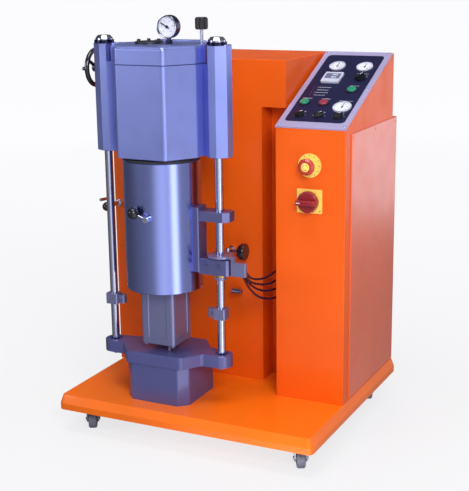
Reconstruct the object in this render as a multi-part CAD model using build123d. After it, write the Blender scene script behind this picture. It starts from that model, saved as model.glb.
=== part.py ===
from build123d import *
import math
import os

# Floor-standing vacuum casting machine: a two-column press with a melting chamber on top,
# a swinging flask chamber below it, a sheet-metal cabinet and a control column, all on a
# wheeled deck.  Millimetres, +Z up, the floor at z = 0, the deck centred on the origin,
# the operator's side at -Y.

# ---------------------------------------------------------------- driving dimensions
# deck
DECK_WIDTH = 680.0
DECK_DEPTH = 600.0
DECK_TOP_Z = 98.0
DECK_BEVEL_OUT = 8.0
DECK_BEVEL_DROP = 22.0
DECK_LIP = 16.0
DECK_SHEET = 3.0
DECK_CORNER = 6.0

# underframe and castors
RAIL_WIDTH = 60.0
RAIL_WALL = 2.5
CROSS_RAIL_Y = 150.0
CASTOR_INSET_X = 50.0
CASTOR_INSET_Y = 62.0
CASTOR_SWIVEL = 118.0
CASTOR_PLATE = 60.0
CASTOR_PLATE_T = 3.0
CASTOR_TRAIL = 19.0
WHEEL_RADIUS = 25.0
WHEEL_WIDTH = 20.0
WHEEL_CHAMFER = 2.5
WHEEL_HUB_RADIUS = 11.0
WHEEL_HUB_WIDTH = 24.0
AXLE_RADIUS = 4.0
FORK_SHEET = 3.0
FORK_TOP_GAP = 2.0
KINGPIN_RADIUS = 6.0

# sheet-metal cabinet and control column
SHEET = 2.0
CABINET_LEFT = -346.0
CABINET_RIGHT = 88.0
CABINET_FRONT = -2.0
CABINET_BACK = 288.0
CABINET_TOP_Z = 931.0
OVERHANG_RIGHT = 153.0
OVERHANG_Z = 815.0
LINK_FRONT = 60.0
COLUMN_LEFT = 161.0
COLUMN_RIGHT = 340.0
COLUMN_FRONT = -84.5
COLUMN_FRONT_TOP_Z = 780.0
COLUMN_RIDGE_Y = 252.0
COLUMN_RIDGE_Z = 931.0
COLUMN_NECK_Y = 262.0
COLUMN_CREASE_Z = 768.0
SIDE_COVER_START = 36.0
SIDE_COVER_T = 3.0
SIDE_COVER_LOW = 6.0
LOUVRE_COUNT = 9
LOUVRE_PITCH = 24.0
LOUVRE_LENGTH = 150.0
LOUVRE_RISE = 5.0

# sloping control panel
BEZEL_T = 4.0
BEZEL_FRONT = 24.0
BEZEL_BACK = 19.0
BEZEL_SIDE = 13.0
PANEL_T = 3.0
PANEL_CORNER = 12.0
PANEL_GAP = 0.3

# two-column press
PRESS_X = -95.0
PRESS_COLUMN_Y = -181.0
COLUMN_PITCH = 305.0
ROD_RADIUS = 10.0
CHAMBER_Y = -184.0
FIXED_GAP = 0.1
RUNNING_GAP = 0.05

# base casting
BASE_TOP_Z = 226.0
BASE_FLANGE_T = 30.0
BASE_HALF_WIDTH = 87.0
BASE_FRONT_Y = -254.0
BASE_BACK_Y = -100.0
BASE_CORNER = 22.0
BASE_EAR_RADIUS = 27.0
BASE_WALL = 12.0
BASE_RECESS_RADIUS = 17.0
BASE_RECESS_DEPTH = 3.0

# melting chamber head
HEAD_BOTTOM_Z = 716.0
HEAD_SEAM_Z = 935.0
HEAD_TOP_Z = 978.0
HEAD_FRONT_Y = -282.0
HEAD_BACK_Y = -86.0
PROW_HALF = 64.0
PROW_SHOULDER = 112.0
PROW_SHOULDER_Y = -208.0
NOTCH_Y = -176.0
EAR_FRONT_Y = -200.0
EAR_INNER = 138.0
EAR_OUTER = 156.0
EAR_CORNER = 180.0
EAR_CORNER_Y = -187.0
EAR_SIDE = 183.0
EAR_SIDE_Y = -165.0
EAR_BACK_Y = -152.0
PROW_ROUND = 11.0
LID_EDGE_ROUND = 9.0
LID_EDGE_HALF = 126.0
END_BLOCK_HALF = 137.0
SEAM_GAP = 1.4
MELT_BORE_RADIUS = 78.0
MELT_FLOOR_T = 24.0
POUR_BORE_RADIUS = 50.0

# lid hinge
HINGE_Y = -76.0
HINGE_DROP = 4.5
HINGE_EYE_RADIUS = 8.0
HINGE_PIN_RADIUS = 4.0
HINGE_HALF = 62.0
HINGE_KNUCKLE_HALF = 32.0
HINGE_SIDE_GAP = 1.0
HINGE_LEG_DROP = 84.0
HINGE_FOOT_T = 9.0

# crucible, coil and stopper
CRUCIBLE_RADIUS = 42.0
CRUCIBLE_WALL = 10.0
CRUCIBLE_HEIGHT = 120.0
CRUCIBLE_STAND = 12.0
POUR_HOLE_RADIUS = 5.0
COIL_RADIUS = 58.0
COIL_TUBE_SIDE = 8.0
COIL_SAMPLES = 24
COIL_TURNS = 6
COIL_PITCH = 14.0
COIL_START = 22.0
STOPPER_RADIUS = 7.0
STOPPER_TIP = 4.0
STOPPER_PIN_RADIUS = 5.0
STOPPER_PIN_OUT = 88.0
STOPPER_PIN_LENGTH = 70.0
STOPPER_ARM_T = 10.0
STOPPER_ARM_WIDTH = 16.0
STOPPER_TRAVEL = 20.0

# fittings on the lid
GAUGE_X = -66.0
GAUGE_Y = -185.0
GAUGE_RISE = 40.0
GAUGE_RADIUS = 27.0
GAUGE_DEPTH = 24.0
GAUGE_STEM_RADIUS = 5.5
GAUGE_HEX = 16.0
GAUGE_HEX_HEIGHT = 9.0
POINTER_LENGTH = 19.0
POINTER_TAIL = 7.0
POINTER_WIDTH = 2.4
POINTER_T = 1.0
SIGHT_X = -119.0
SIGHT_Y = -188.0
SIGHT_RADIUS = 33.0
SIGHT_HEIGHT = 6.0
SIGHT_GLASS_RADIUS = 21.0
SIGHT_GLASS_T = 4.0
SIGHT_SCREWS = 6
SIGHT_SCREW_RADIUS = 4.2
SIGHT_SCREW_HEIGHT = 4.5
VENT_X = 4.0
VENT_Y = -153.0
VENT_ROD_RADIUS = 4.0
VENT_KNOB_Z = 1025.0
VENT_KNOB_RADIUS = 16.5
VENT_KNOB_HEIGHT = 28.0
VENT_LOBES = 6
VENT_SEAT = 8.0

# handwheel that closes the head's split clamp on the left column
HANDWHEEL_Y = -145.0
HANDWHEEL_Z = 914.0
HANDWHEEL_RADIUS = 43.0
HANDWHEEL_GRIP = 5.5
HANDWHEEL_OFFSET = 25.0
HANDWHEEL_HUB_RADIUS = 11.0
HANDWHEEL_SPOKES = 3
HANDLE_RADIUS = 4.5
HANDLE_LENGTH = 12.0
SPINDLE_RADIUS = 6.0
SPINDLE_LENGTH = 96.0
CLAMP_WASHER_T = 4.0
CLAMP_SLIT = 3.0
JAW_DEPTH = 16.0
JAW_DROP = 24.0

# swinging flask chamber
FLASK_RADIUS = 95.0
FLASK_WALL = 8.0
FLASK_HEAD_GAP = 11.0
FLASK_BOTTOM_Z = 386.0
FLASK_FLOOR_T = 12.0
SEAL_WALL = 5.0
SEAL_RISE = 7.0
SEAL_DEPTH = 5.0
CHAMBER_LIFT = 3.5

# swing arm
ARM_PAD_X = 12.0
ARM_PAD_FRONT_Y = -205.0
ARM_PAD_BACK_Y = -160.0
ARM_PAD_LOW_Z = 435.0
ARM_PAD_HIGH_Z = 595.0
LUG_FRONT_Y = -203.0
LUG_BACK_Y = -155.0
LUG_REACH = 30.5
LUG_CHAMFER = 13.0
LUG_LOW_CHAMFER = 5.0
UPPER_LUG_Z = 562.0
UPPER_LUG_T = 24.0
LOWER_LUG_Z = 431.0
LOWER_LUG_T = 39.0
SLEEVE_WALL = 4.0
SLEEVE_FOOT_T = 6.0
LIFT_CLEAR = 4.0
BRACKET_T = 5.0
BRACKET_RADIUS = 32.0
MANIFOLD_CLEAR = 5.5
MANIFOLD_WIDTH = 39.0
MANIFOLD_FRONT_Y = -200.0
MANIFOLD_DEPTH = 12.0
MANIFOLD_LOW_Z = 433.0
MANIFOLD_HEIGHT = 33.0
MANIFOLD_NECK = 10.0
FITTING_LENGTH = 9.0
FITTING_PITCH = 10.0
HOSE_RADIUS = 2.8

# lift cylinder under the flask chamber
CYLINDER_SIDE = 93.0
CYLINDER_BORE_RADIUS = 40.0
CYLINDER_BOTTOM_Z = 243.0
CYLINDER_CAP_T = 15.0
CYLINDER_FLUTE = 3.0
CYLINDER_POST = 20.0
CYLINDER_CORNER = 8.0
PISTON_T = 22.0
PISTON_ROD_RADIUS = 10.0
TABLE_RADIUS = 60.0
TABLE_T = 10.0
TABLE_STROKE = 75.0
TIE_ROD_RADIUS = 4.0
TIE_ROD_INSET = 9.0

# ball-knob cock on the flask chamber
COCK_ANGLE = 7.8
COCK_Z = 575.0
COCK_BOSS_RADIUS = 8.0
COCK_BOSS_OUT = 9.0
COCK_STEM_RADIUS = 2.5
COCK_BALL_RADIUS = 14.2
COCK_REACH_X = -33.0
COCK_REACH_Y = -5.6
COCK_REACH_Z = 14.0

# collars and nuts on the columns
COLLAR_HALF = 16.0
COLLAR_HEIGHT = 27.0
COLLAR_LUG = 19.0
LEFT_COLLAR_Z = 321.0
RIGHT_COLLAR_Z = 317.0
THRUST_COLLAR_T = 8.0
CAP_NUT_RADIUS = 24.0
CAP_NUT_HEIGHT = 18.0

# valve and union on the cabinet wall
VALVE_X = 2.0
VALVE_Y = -27.0
VALVE_Z = 447.0
VALVE_PIPE_RADIUS = 4.5
VALVE_KNOB_RADIUS = 22.0
VALVE_KNOB_T = 14.0
VALVE_KNOB_X = 39.0
UNION_X = 23.0
UNION_Z = 339.0
SIDE_COCK_X = -335.0
SIDE_COCK_Y = -52.0
SIDE_COCK_Z = 541.0
SIDE_BALL_RADIUS = 12.0
SIDE_SPIGOT_RISE = 22.0
SIDE_SPIGOT_LENGTH = 50.0

# controls on the front of the column
CONTROL_X = 250.5
STOP_Z = 693.0
STOP_PLATE_RADIUS = 29.0
STOP_HEAD_RADIUS = 20.0
STOP_PUSH = 4.0
ISOLATOR_Z = 607.0
ISOLATOR_WIDTH = 64.0
ISOLATOR_HEIGHT = 58.0
ISOLATOR_KNOB_RADIUS = 26.0
PLATE_T = 3.0
CONTROL_GAP = 0.4

# services at the back
PORT_X = -250.0
PORT_PITCH = 60.0
PORT_Z = 190.0
PORT_THREAD_RADIUS = 5.8
PORT_LENGTH = 14.0
VACUUM_RADIUS = 12.5
GLAND_LENGTH = 11.0

# ---------------------------------------------------------------- derived places
SLOPE_RUN = COLUMN_RIDGE_Y - COLUMN_FRONT
SLOPE_RISE = COLUMN_RIDGE_Z - COLUMN_FRONT_TOP_Z
SLOPE_LENGTH = math.hypot(SLOPE_RUN, SLOPE_RISE)
SLOPE = math.degrees(math.atan2(SLOPE_RISE, SLOPE_RUN))
DECK_LOW_Z = DECK_TOP_Z - DECK_BEVEL_DROP - DECK_LIP
DECK_UNDER_Z = DECK_TOP_Z - DECK_SHEET
CASTOR_X = DECK_WIDTH / 2 - CASTOR_INSET_X
CASTOR_Y = DECK_DEPTH / 2 - CASTOR_INSET_Y
GAUGE_Z = HEAD_TOP_Z + GAUGE_RISE
FLASK_TOP_Z = HEAD_BOTTOM_Z - FLASK_HEAD_GAP
LEFT_X = PRESS_X - COLUMN_PITCH / 2
RIGHT_X = PRESS_X + COLUMN_PITCH / 2
FORK_TOP_Z = 2 * WHEEL_RADIUS + 6.0
RAIL_LOW_Z = FORK_TOP_Z + FORK_TOP_GAP + CASTOR_PLATE_T
FLASK_BORE_RADIUS = FLASK_RADIUS - FLASK_WALL
CYLINDER_TOP_Z = FLASK_BOTTOM_Z
LID_LOW_Z = HEAD_SEAM_Z + SEAM_GAP / 2
BODY_TOP_Z = HEAD_SEAM_Z - SEAM_GAP / 2
HINGE_Z = HEAD_TOP_Z - HINGE_DROP
SLEEVE_RADIUS = ROD_RADIUS + RUNNING_GAP + SLEEVE_WALL
COLUMN_MID_X = (COLUMN_LEFT + COLUMN_RIGHT) / 2

os.makedirs("parts", exist_ok=True)


# ---------------------------------------------------------------- shape helpers
def block(x0, x1, y0, y1, z0, z1):
    """A box between two corners."""
    middle = Pos((x0 + x1) / 2, (y0 + y1) / 2, (z0 + z1) / 2)
    return middle * Box(abs(x1 - x0), abs(y1 - y0), abs(z1 - z0))


def rod_x(radius, x0, x1, y, z):
    """A cylinder along X."""
    return Pos((x0 + x1) / 2, y, z) * Rot(0, 90, 0) * Cylinder(radius, abs(x1 - x0))


def rod_y(radius, x, y0, y1, z):
    """A cylinder along Y."""
    return Pos(x, (y0 + y1) / 2, z) * Rot(90, 0, 0) * Cylinder(radius, abs(y1 - y0))


def rod_z(radius, x, y, z0, z1):
    """A cylinder along Z."""
    return Pos(x, y, (z0 + z1) / 2) * Cylinder(radius, abs(z1 - z0))


def prism(points, z0, z1):
    """An upright prism on a plan outline whose points run counter-clockwise."""
    return Pos(0, 0, z0) * extrude(Polygon(*points), z1 - z0)


def side_prism(points, x0, x1):
    """A prism along X on a (y, z) outline."""
    outline = Polyline(*[(x0, y, z) for y, z in points], close=True)
    return extrude(make_face(outline), amount=x1 - x0, dir=(1, 0, 0))


def front_prism(points, y0, y1):
    """A prism along Y on an (x, z) outline."""
    outline = Polyline(*[(x, y0, z) for x, z in points], close=True)
    return extrude(make_face(outline), amount=y1 - y0, dir=(0, 1, 0))


def turned(points, x, y, z=0.0):
    """A body turned about a vertical line from an (r, z) profile."""
    face = make_face(Polyline(*[(r, 0, h) for r, h in points], close=True))
    return Pos(x, y, z) * revolve(face, Axis.Z)


def upright_edges(shape, places, reach=1.0):
    """The vertical edges of a shape that stand within reach of the given (x, y) places."""
    chosen = []
    for edge in shape.edges().filter_by(Axis.Z):
        spot = edge.center()
        for x, y in places:
            if math.hypot(spot.X - x, spot.Y - y) < reach:
                chosen.append(edge)
    return chosen


def solids_of(*shapes):
    """Separate solids kept side by side in one node."""
    found = []
    for shape in shapes:
        found.extend(shape.solids())
    return Compound(children=found)


def write(name, shape):
    export_step(shape, "parts/" + name + ".step")


# ---------------------------------------------------------------- deck and castors
def deck_form(inset):
    """The deck's outer form, or its hollow when inset by the sheet's thickness."""
    top_w = DECK_WIDTH - 2 * inset
    top_d = DECK_DEPTH - 2 * inset
    low_w = top_w + 2 * DECK_BEVEL_OUT
    low_d = top_d + 2 * DECK_BEVEL_OUT
    bevel_z = DECK_TOP_Z - DECK_BEVEL_DROP
    corner = DECK_CORNER + DECK_BEVEL_OUT - inset
    bevel_rings = Sketch() + [
        Pos(0, 0, bevel_z - inset) * RectangleRounded(low_w, low_d, corner),
        Pos(0, 0, DECK_TOP_Z - inset) * RectangleRounded(top_w, top_d, DECK_CORNER),
    ]
    bevel = loft(bevel_rings.faces())
    skirt = extrude(Pos(0, 0, DECK_LOW_Z) * RectangleRounded(low_w, low_d, corner),
                    bevel_z - inset - DECK_LOW_Z)
    return skirt + bevel


def make_deck():
    hollow = deck_form(DECK_SHEET)
    return deck_form(0.0) - hollow


def make_underframe():
    """Two hollow rails that carry the castors, two cross rails, and the castor plates."""
    length = DECK_DEPTH / 2 - 2 * DECK_SHEET
    rails = []
    for side in (-1, 1):
        x = side * CASTOR_X
        outer = block(x - RAIL_WIDTH / 2, x + RAIL_WIDTH / 2, -length, length,
                      RAIL_LOW_Z, DECK_UNDER_Z)
        inner = block(x - RAIL_WIDTH / 2 + RAIL_WALL, x + RAIL_WIDTH / 2 - RAIL_WALL,
                      -length, length, RAIL_LOW_Z + RAIL_WALL, DECK_UNDER_Z - RAIL_WALL)
        rails.append(outer - inner)
    cross_half = CASTOR_X - RAIL_WIDTH / 2
    cross = []
    for y in (-CROSS_RAIL_Y, CROSS_RAIL_Y):
        outer = block(-cross_half, cross_half, y - RAIL_WIDTH / 2, y + RAIL_WIDTH / 2,
                      RAIL_LOW_Z, DECK_UNDER_Z)
        inner = block(-cross_half, cross_half, y - RAIL_WIDTH / 2 + RAIL_WALL,
                      y + RAIL_WIDTH / 2 - RAIL_WALL, RAIL_LOW_Z + RAIL_WALL,
                      DECK_UNDER_Z - RAIL_WALL)
        cross.append(outer - inner)
    plates = []
    for x, y in castor_places():
        plate = block(x - CASTOR_PLATE / 2, x + CASTOR_PLATE / 2, y - CASTOR_PLATE / 2,
                      y + CASTOR_PLATE / 2, RAIL_LOW_Z - CASTOR_PLATE_T, RAIL_LOW_Z)
        kingpin = rod_z(KINGPIN_RADIUS, x, y, FORK_TOP_Z - 2 * FORK_SHEET,
                        RAIL_LOW_Z - CASTOR_PLATE_T)
        plates.append(plate + kingpin)
    return solids_of(rails[0] + rails[1] + cross[0] + cross[1], *plates)


def castor_places():
    return [(-CASTOR_X, -CASTOR_Y), (CASTOR_X, -CASTOR_Y),
            (-CASTOR_X, CASTOR_Y), (CASTOR_X, CASTOR_Y)]


CASTOR_NAMES = ["front_left", "front_right", "rear_left", "rear_right"]


def castor_turned(piece, x, y):
    """A castor piece, made trailing to -X at the origin, placed and turned by its swivel."""
    return Pos(x, y, 0) * Rot(0, 0, CASTOR_SWIVEL) * piece


def make_castor_fork(x, y):
    """A pressed crown disc with two tapering legs and the wheel's axle between them."""
    axle_x = -CASTOR_TRAIL
    leg_gap = WHEEL_HUB_WIDTH / 2 + 0.5
    fork = rod_z(CASTOR_PLATE / 2 - 6.0, 0, 0, FORK_TOP_Z - FORK_SHEET, FORK_TOP_Z)
    fork += block(axle_x - 9.0, 14.0, -leg_gap - FORK_SHEET, leg_gap + FORK_SHEET,
                  FORK_TOP_Z - FORK_SHEET, FORK_TOP_Z)
    fork -= rod_z(KINGPIN_RADIUS + FIXED_GAP, 0, 0, FORK_TOP_Z - 2 * FORK_SHEET,
                  FORK_TOP_Z + 1.0)
    for side in (-1, 1):
        y0 = side * leg_gap
        y1 = y0 + side * FORK_SHEET
        fork += front_prism([(axle_x - 9.0, WHEEL_RADIUS), (axle_x - 9.0, FORK_TOP_Z),
                             (14.0, FORK_TOP_Z), (axle_x + 9.0, WHEEL_RADIUS)],
                            min(y0, y1), max(y0, y1))
        fork += rod_y(9.0, axle_x, y0, y1, WHEEL_RADIUS)
    fork += rod_y(AXLE_RADIUS, axle_x, -leg_gap - 2 * FORK_SHEET, leg_gap + 2 * FORK_SHEET,
                  WHEEL_RADIUS)
    return castor_turned(fork, x, y)


def make_castor_wheel(x, y):
    """A dished wheel with a bored hub."""
    axle_x = -CASTOR_TRAIL
    tread = rod_y(WHEEL_RADIUS, axle_x, -WHEEL_WIDTH / 2, WHEEL_WIDTH / 2, WHEEL_RADIUS)
    tread = chamfer(tread.edges(), WHEEL_CHAMFER)
    dish_depth = 3.0
    for side in (-1, 1):
        face_y = side * WHEEL_WIDTH / 2
        tread -= rod_y(WHEEL_RADIUS - 7.0, axle_x, face_y - side * dish_depth,
                       face_y + side, WHEEL_RADIUS)
    wheel = tread + rod_y(WHEEL_HUB_RADIUS, axle_x, -WHEEL_HUB_WIDTH / 2,
                          WHEEL_HUB_WIDTH / 2, WHEEL_RADIUS)
    wheel -= rod_y(AXLE_RADIUS + RUNNING_GAP, axle_x, -WHEEL_HUB_WIDTH, WHEEL_HUB_WIDTH,
                   WHEEL_RADIUS)
    return castor_turned(wheel, x, y)


# ---------------------------------------------------------------- cabinet and column
def make_cabinet_shell():
    """An L-shaped sheet box, open at the back: the upper part reaches further right."""
    outline = [(CABINET_LEFT, DECK_TOP_Z), (CABINET_RIGHT, DECK_TOP_Z),
               (CABINET_RIGHT, OVERHANG_Z), (OVERHANG_RIGHT, OVERHANG_Z),
               (OVERHANG_RIGHT, CABINET_TOP_Z), (CABINET_LEFT, CABINET_TOP_Z)]
    hollow = [(CABINET_LEFT + SHEET, DECK_TOP_Z + SHEET),
              (CABINET_RIGHT - SHEET, DECK_TOP_Z + SHEET),
              (CABINET_RIGHT - SHEET, OVERHANG_Z + SHEET),
              (OVERHANG_RIGHT - SHEET, OVERHANG_Z + SHEET),
              (OVERHANG_RIGHT - SHEET, CABINET_TOP_Z - SHEET),
              (CABINET_LEFT + SHEET, CABINET_TOP_Z - SHEET)]
    back = CABINET_BACK - SHEET
    outer = front_prism(outline, CABINET_FRONT, back)
    edge_z = CABINET_TOP_Z - 0.5
    top_edges = [e for e in outer.edges() if e.center().Z > edge_z and e.center().Y < back - 1]
    outer = fillet(top_edges, SHEET)
    return outer - front_prism(hollow, CABINET_FRONT + SHEET, back + 1.0)


def make_link_panel():
    """The recessed panel that closes the channel between cabinet and column."""
    return block(CABINET_RIGHT, COLUMN_LEFT, LINK_FRONT, LINK_FRONT + SHEET,
                 DECK_TOP_Z, OVERHANG_Z)


def make_cabinet_back_cover():
    """A flat removable cover with rows of pressed louvres."""
    y0 = CABINET_BACK - SHEET
    inset = 1.0
    cover = front_prism([(CABINET_LEFT + inset, DECK_TOP_Z + inset),
                         (CABINET_RIGHT - inset, DECK_TOP_Z + inset),
                         (CABINET_RIGHT - inset, OVERHANG_Z + inset),
                         (OVERHANG_RIGHT - inset, OVERHANG_Z + inset),
                         (OVERHANG_RIGHT - inset, CABINET_TOP_Z - inset),
                         (CABINET_LEFT + inset, CABINET_TOP_Z - inset)], y0, CABINET_BACK)
    louvre_low_z = 480.0
    for bank_x in (CABINET_LEFT + 110.0, CABINET_RIGHT - 110.0):
        for row in range(LOUVRE_COUNT):
            z = louvre_low_z + row * LOUVRE_PITCH
            hood = side_prism([(CABINET_BACK, z), (CABINET_BACK + LOUVRE_RISE, z),
                               (CABINET_BACK, z + 2.2 * LOUVRE_RISE)],
                              bank_x - LOUVRE_LENGTH / 2, bank_x + LOUVRE_LENGTH / 2)
            cover += hood
    return cover


def column_outline(inset):
    """The control column's (y, z) outline, moved inwards by inset."""
    drop = inset / math.cos(math.radians(SLOPE))
    front = COLUMN_FRONT + inset
    front_top = COLUMN_FRONT_TOP_Z - drop + inset * math.tan(math.radians(SLOPE))
    ridge_z = COLUMN_RIDGE_Z - inset
    ridge_y = front + (ridge_z - front_top) / math.tan(math.radians(SLOPE))
    return [(front, DECK_TOP_Z + inset), (front, front_top), (ridge_y, ridge_z),
            (COLUMN_NECK_Y - inset, ridge_z), (COLUMN_NECK_Y - inset, COLUMN_CREASE_Z - inset),
            (CABINET_BACK - inset, COLUMN_CREASE_Z - inset), (CABINET_BACK - inset,
                                                              DECK_TOP_Z + inset)]


def make_column_shell():
    """The control column: a folded sheet housing with a sloping top."""
    outer = side_prism(column_outline(0.0), COLUMN_LEFT, COLUMN_RIGHT)
    hollow = side_prism(column_outline(SHEET), COLUMN_LEFT + SHEET, COLUMN_RIGHT - SHEET)
    window = side_prism([(COLUMN_FRONT + SIDE_COVER_START + 14.0, DECK_TOP_Z + 30.0),
                         (COLUMN_FRONT + SIDE_COVER_START + 14.0, COLUMN_CREASE_Z - 26.0),
                         (CABINET_BACK - 22.0, COLUMN_CREASE_Z - 26.0),
                         (CABINET_BACK - 22.0, DECK_TOP_Z + 30.0)],
                        COLUMN_RIGHT - 2 * SHEET, COLUMN_RIGHT + 1.0)
    front_edges = outer.edges().filter_by(Axis.Z).sort_by(Axis.Y)[0:2]
    outer = fillet(front_edges, SHEET)
    return outer - hollow - window


def make_side_cover():
    """The removable cover on the right of the column, standing proud by its thickness."""
    y0 = COLUMN_FRONT + SIDE_COVER_START
    cover = block(COLUMN_RIGHT, COLUMN_RIGHT + SIDE_COVER_T, y0, CABINET_BACK,
                  DECK_TOP_Z + SIDE_COVER_LOW, COLUMN_CREASE_Z)
    outer_edges = cover.faces().sort_by(Axis.X)[-1].edges()
    return chamfer(outer_edges, SIDE_COVER_T / 2)


def panel_spot(x, along, height=0.0):
    """A place on the sloping panel: x across, along the slope from its front edge."""
    angle = math.radians(SLOPE)
    y = COLUMN_FRONT + along * math.cos(angle) - height * math.sin(angle)
    z = COLUMN_FRONT_TOP_Z + along * math.sin(angle) + height * math.cos(angle)
    return Pos(COLUMN_MID_X + x, y, z) * Rot(SLOPE, 0, 0)


def bezel_opening():
    width = COLUMN_RIGHT - COLUMN_LEFT - 2 * BEZEL_SIDE
    length = SLOPE_LENGTH - BEZEL_FRONT - BEZEL_BACK
    middle = BEZEL_FRONT + length / 2
    return width, length, middle


def make_panel_bezel():
    """The pale frame round the panel, lying on the column's sloping top."""
    width, length, middle = bezel_opening()
    frame_w = COLUMN_RIGHT - COLUMN_LEFT
    lip = 1.0
    frame = panel_spot(0, (SLOPE_LENGTH - lip) / 2, BEZEL_T / 2) * Box(
        frame_w, SLOPE_LENGTH + lip, BEZEL_T)
    hole = panel_spot(0, middle, -1.0) * extrude(
        RectangleRounded(width, length, PANEL_CORNER), BEZEL_T + 2.0)
    top = frame.faces().sort_by(Axis.Z)[-1]
    frame = chamfer(top.edges(), 1.0)
    return frame - hole


def make_panel_plate():
    """The dark plate set into the bezel, with a hole for each control."""
    width, length, middle = bezel_opening()
    plate = panel_spot(0, middle) * extrude(
        RectangleRounded(width - 2 * PANEL_GAP, length - 2 * PANEL_GAP,
                         PANEL_CORNER - PANEL_GAP), PANEL_T)
    for x, along, radius in control_holes():
        plate -= panel_spot(x, along, -1.0) * extrude(Circle(radius + PANEL_GAP), PANEL_T + 2)
    x, along, side = CONTROLLER
    plate -= panel_spot(x, along, -1.0) * extrude(
        Rectangle(side - 4.0 + PANEL_GAP, side - 4.0 + PANEL_GAP), PANEL_T + 2.0)
    return plate


# places on the panel: across from its middle line, and along the slope
PANEL_GAUGES = [(-33.0, 292.0, 19.5), (40.0, 292.0, 19.5), (47.0, 97.0, 21.5)]
CONTROLLER = (-25.0, 231.0, 48.0)
SELECTOR = (47.0, 234.0)
BUTTONS = {"left_green_button": (-55.0, 112.0), "right_green_button": (44.0, 178.0),
           "red_button": (-6.0, 112.0)}
LEVERS = {"left_lever_switch": (-46.0, 53.0), "middle_lever_switch": (3.0, 53.0),
          "right_lever_switch": (52.0, 53.0)}
BUTTON_RADIUS = 11.5
BUTTON_COLLAR_RADIUS = 14.5
BUTTON_COLLAR_T = 2.5
BUTTON_STROKE = 2.0
BUTTON_HEIGHT = 6.0
SHEET_SEAT = 0.3
GAUGE_DIAL = 4.0
GAUGE_RIM_TOP = 6.0
LEVER_COLLAR_RADIUS = 12.0
LEVER_RADIUS = 8.0
SHANK_RADIUS = 8.0
SHANK_DEPTH = 18.0


def control_holes():
    holes = [(x, along, radius) for x, along, radius in PANEL_GAUGES]
    holes += [(x, along, BUTTON_RADIUS + 1.0) for x, along in BUTTONS.values()]
    holes += [(x, along, SHANK_RADIUS) for x, along in LEVERS.values()]
    holes.append((SELECTOR[0], SELECTOR[1], SHANK_RADIUS))
    return holes


def make_panel_instruments():
    """Three gauge cases and the square temperature controller."""
    pieces = []
    for x, along, radius in PANEL_GAUGES:
        case = panel_spot(x, along, SHEET_SEAT) * extrude(Circle(radius),
                                                          GAUGE_RIM_TOP - SHEET_SEAT)
        rim = panel_spot(x, along, PANEL_T) * extrude(Circle(radius + 1.5),
                                                      GAUGE_RIM_TOP - PANEL_T)
        well = panel_spot(x, along, GAUGE_DIAL) * extrude(Circle(radius - 0.8), 10.0)
        axle = panel_spot(x, along, 1.0) * extrude(Circle(1.2), GAUGE_DIAL + 1.1)
        pieces.append(case + rim - well + axle)
    x, along, side = CONTROLLER
    body = panel_spot(x, along, SHEET_SEAT) * extrude(Rectangle(side - 4.0, side - 4.0), 5.0)
    front = panel_spot(x, along, PANEL_T) * extrude(RectangleRounded(side, side, 3.0), 5.0)
    screen = panel_spot(x, along + 5.0, PANEL_T + 4.0) * extrude(
        Rectangle(side - 8.0, side - 22.0), 4.0)
    pieces.append(body + front - screen)
    return solids_of(*pieces)


def make_switch_collars():
    """The round collars of the buttons, the lever switches and the selector."""
    pieces = []
    for x, along in BUTTONS.values():
        ring = Circle(BUTTON_COLLAR_RADIUS) - Circle(BUTTON_RADIUS + RUNNING_GAP)
        pieces.append(panel_spot(x, along, PANEL_T) * extrude(ring, BUTTON_COLLAR_T))
    spots = list(LEVERS.values()) + [SELECTOR]
    for x, along in spots:
        ring = Circle(LEVER_COLLAR_RADIUS) - Circle(SHANK_RADIUS - 2.0 + RUNNING_GAP)
        pieces.append(panel_spot(x, along, PANEL_T) * extrude(ring, BUTTON_COLLAR_T))
    return solids_of(*pieces)


def make_button(x, along):
    """A push button whose shank slides in its collar."""
    shank_low = PANEL_T - 0.5
    shank = panel_spot(x, along, shank_low) * extrude(Circle(BUTTON_RADIUS),
                                                      BUTTON_HEIGHT)
    top = shank.faces().sort_by(Axis.Z)[-1]
    return fillet(top.edges(), 1.2)


def make_lever_switch(x, along):
    """A round rotary head with a raised lever bar."""
    head_low = PANEL_T + BUTTON_COLLAR_T + CONTROL_GAP
    shank = panel_spot(x, along, 1.0) * extrude(Circle(SHANK_RADIUS - 2.0), head_low)
    head = panel_spot(x, along, head_low) * extrude(Circle(LEVER_COLLAR_RADIUS - 1.5), 3.0)
    bar = panel_spot(x, along, head_low + 3.0) * extrude(
        SlotOverall(2 * LEVER_COLLAR_RADIUS, 5.5, rotation=35), 5.0)
    return shank + head + bar


def make_selector():
    """A larger rotary selector with a pointed handle bar."""
    x, along = SELECTOR
    head_low = PANEL_T + BUTTON_COLLAR_T + CONTROL_GAP
    shank = panel_spot(x, along, 1.0) * extrude(Circle(SHANK_RADIUS - 2.0), head_low)
    disc = panel_spot(x, along, head_low) * extrude(Circle(14.0), 3.0)
    bar = panel_spot(x, along, head_low + 3.0) * extrude(
        SlotOverall(27.0, 8.0, rotation=60), 7.0)
    return shank + disc + bar


def make_pointer(x, along, radius):
    """A gauge pointer turning on the gauge's axle."""
    height = GAUGE_DIAL + 0.3
    long_end = radius - 4.5
    hand = panel_spot(x, along, height) * extrude(
        Pos(0, (long_end - 5.0) / 2) * Rectangle(1.6, long_end + 5.0), 0.8)
    hub = panel_spot(x, along, height) * extrude(Circle(2.8), 1.2)
    bore = panel_spot(x, along, height - 1.0) * extrude(Circle(1.2 + RUNNING_GAP), 4.0)
    return hand + hub - bore


# ---------------------------------------------------------------- press: frame pieces
def mirrored(half):
    """A closed plan outline from its right half, given from front to back."""
    right = [(PRESS_X + x, y) for x, y in half]
    left = [(PRESS_X - x, y) for x, y in reversed(half)]
    return right + left


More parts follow.
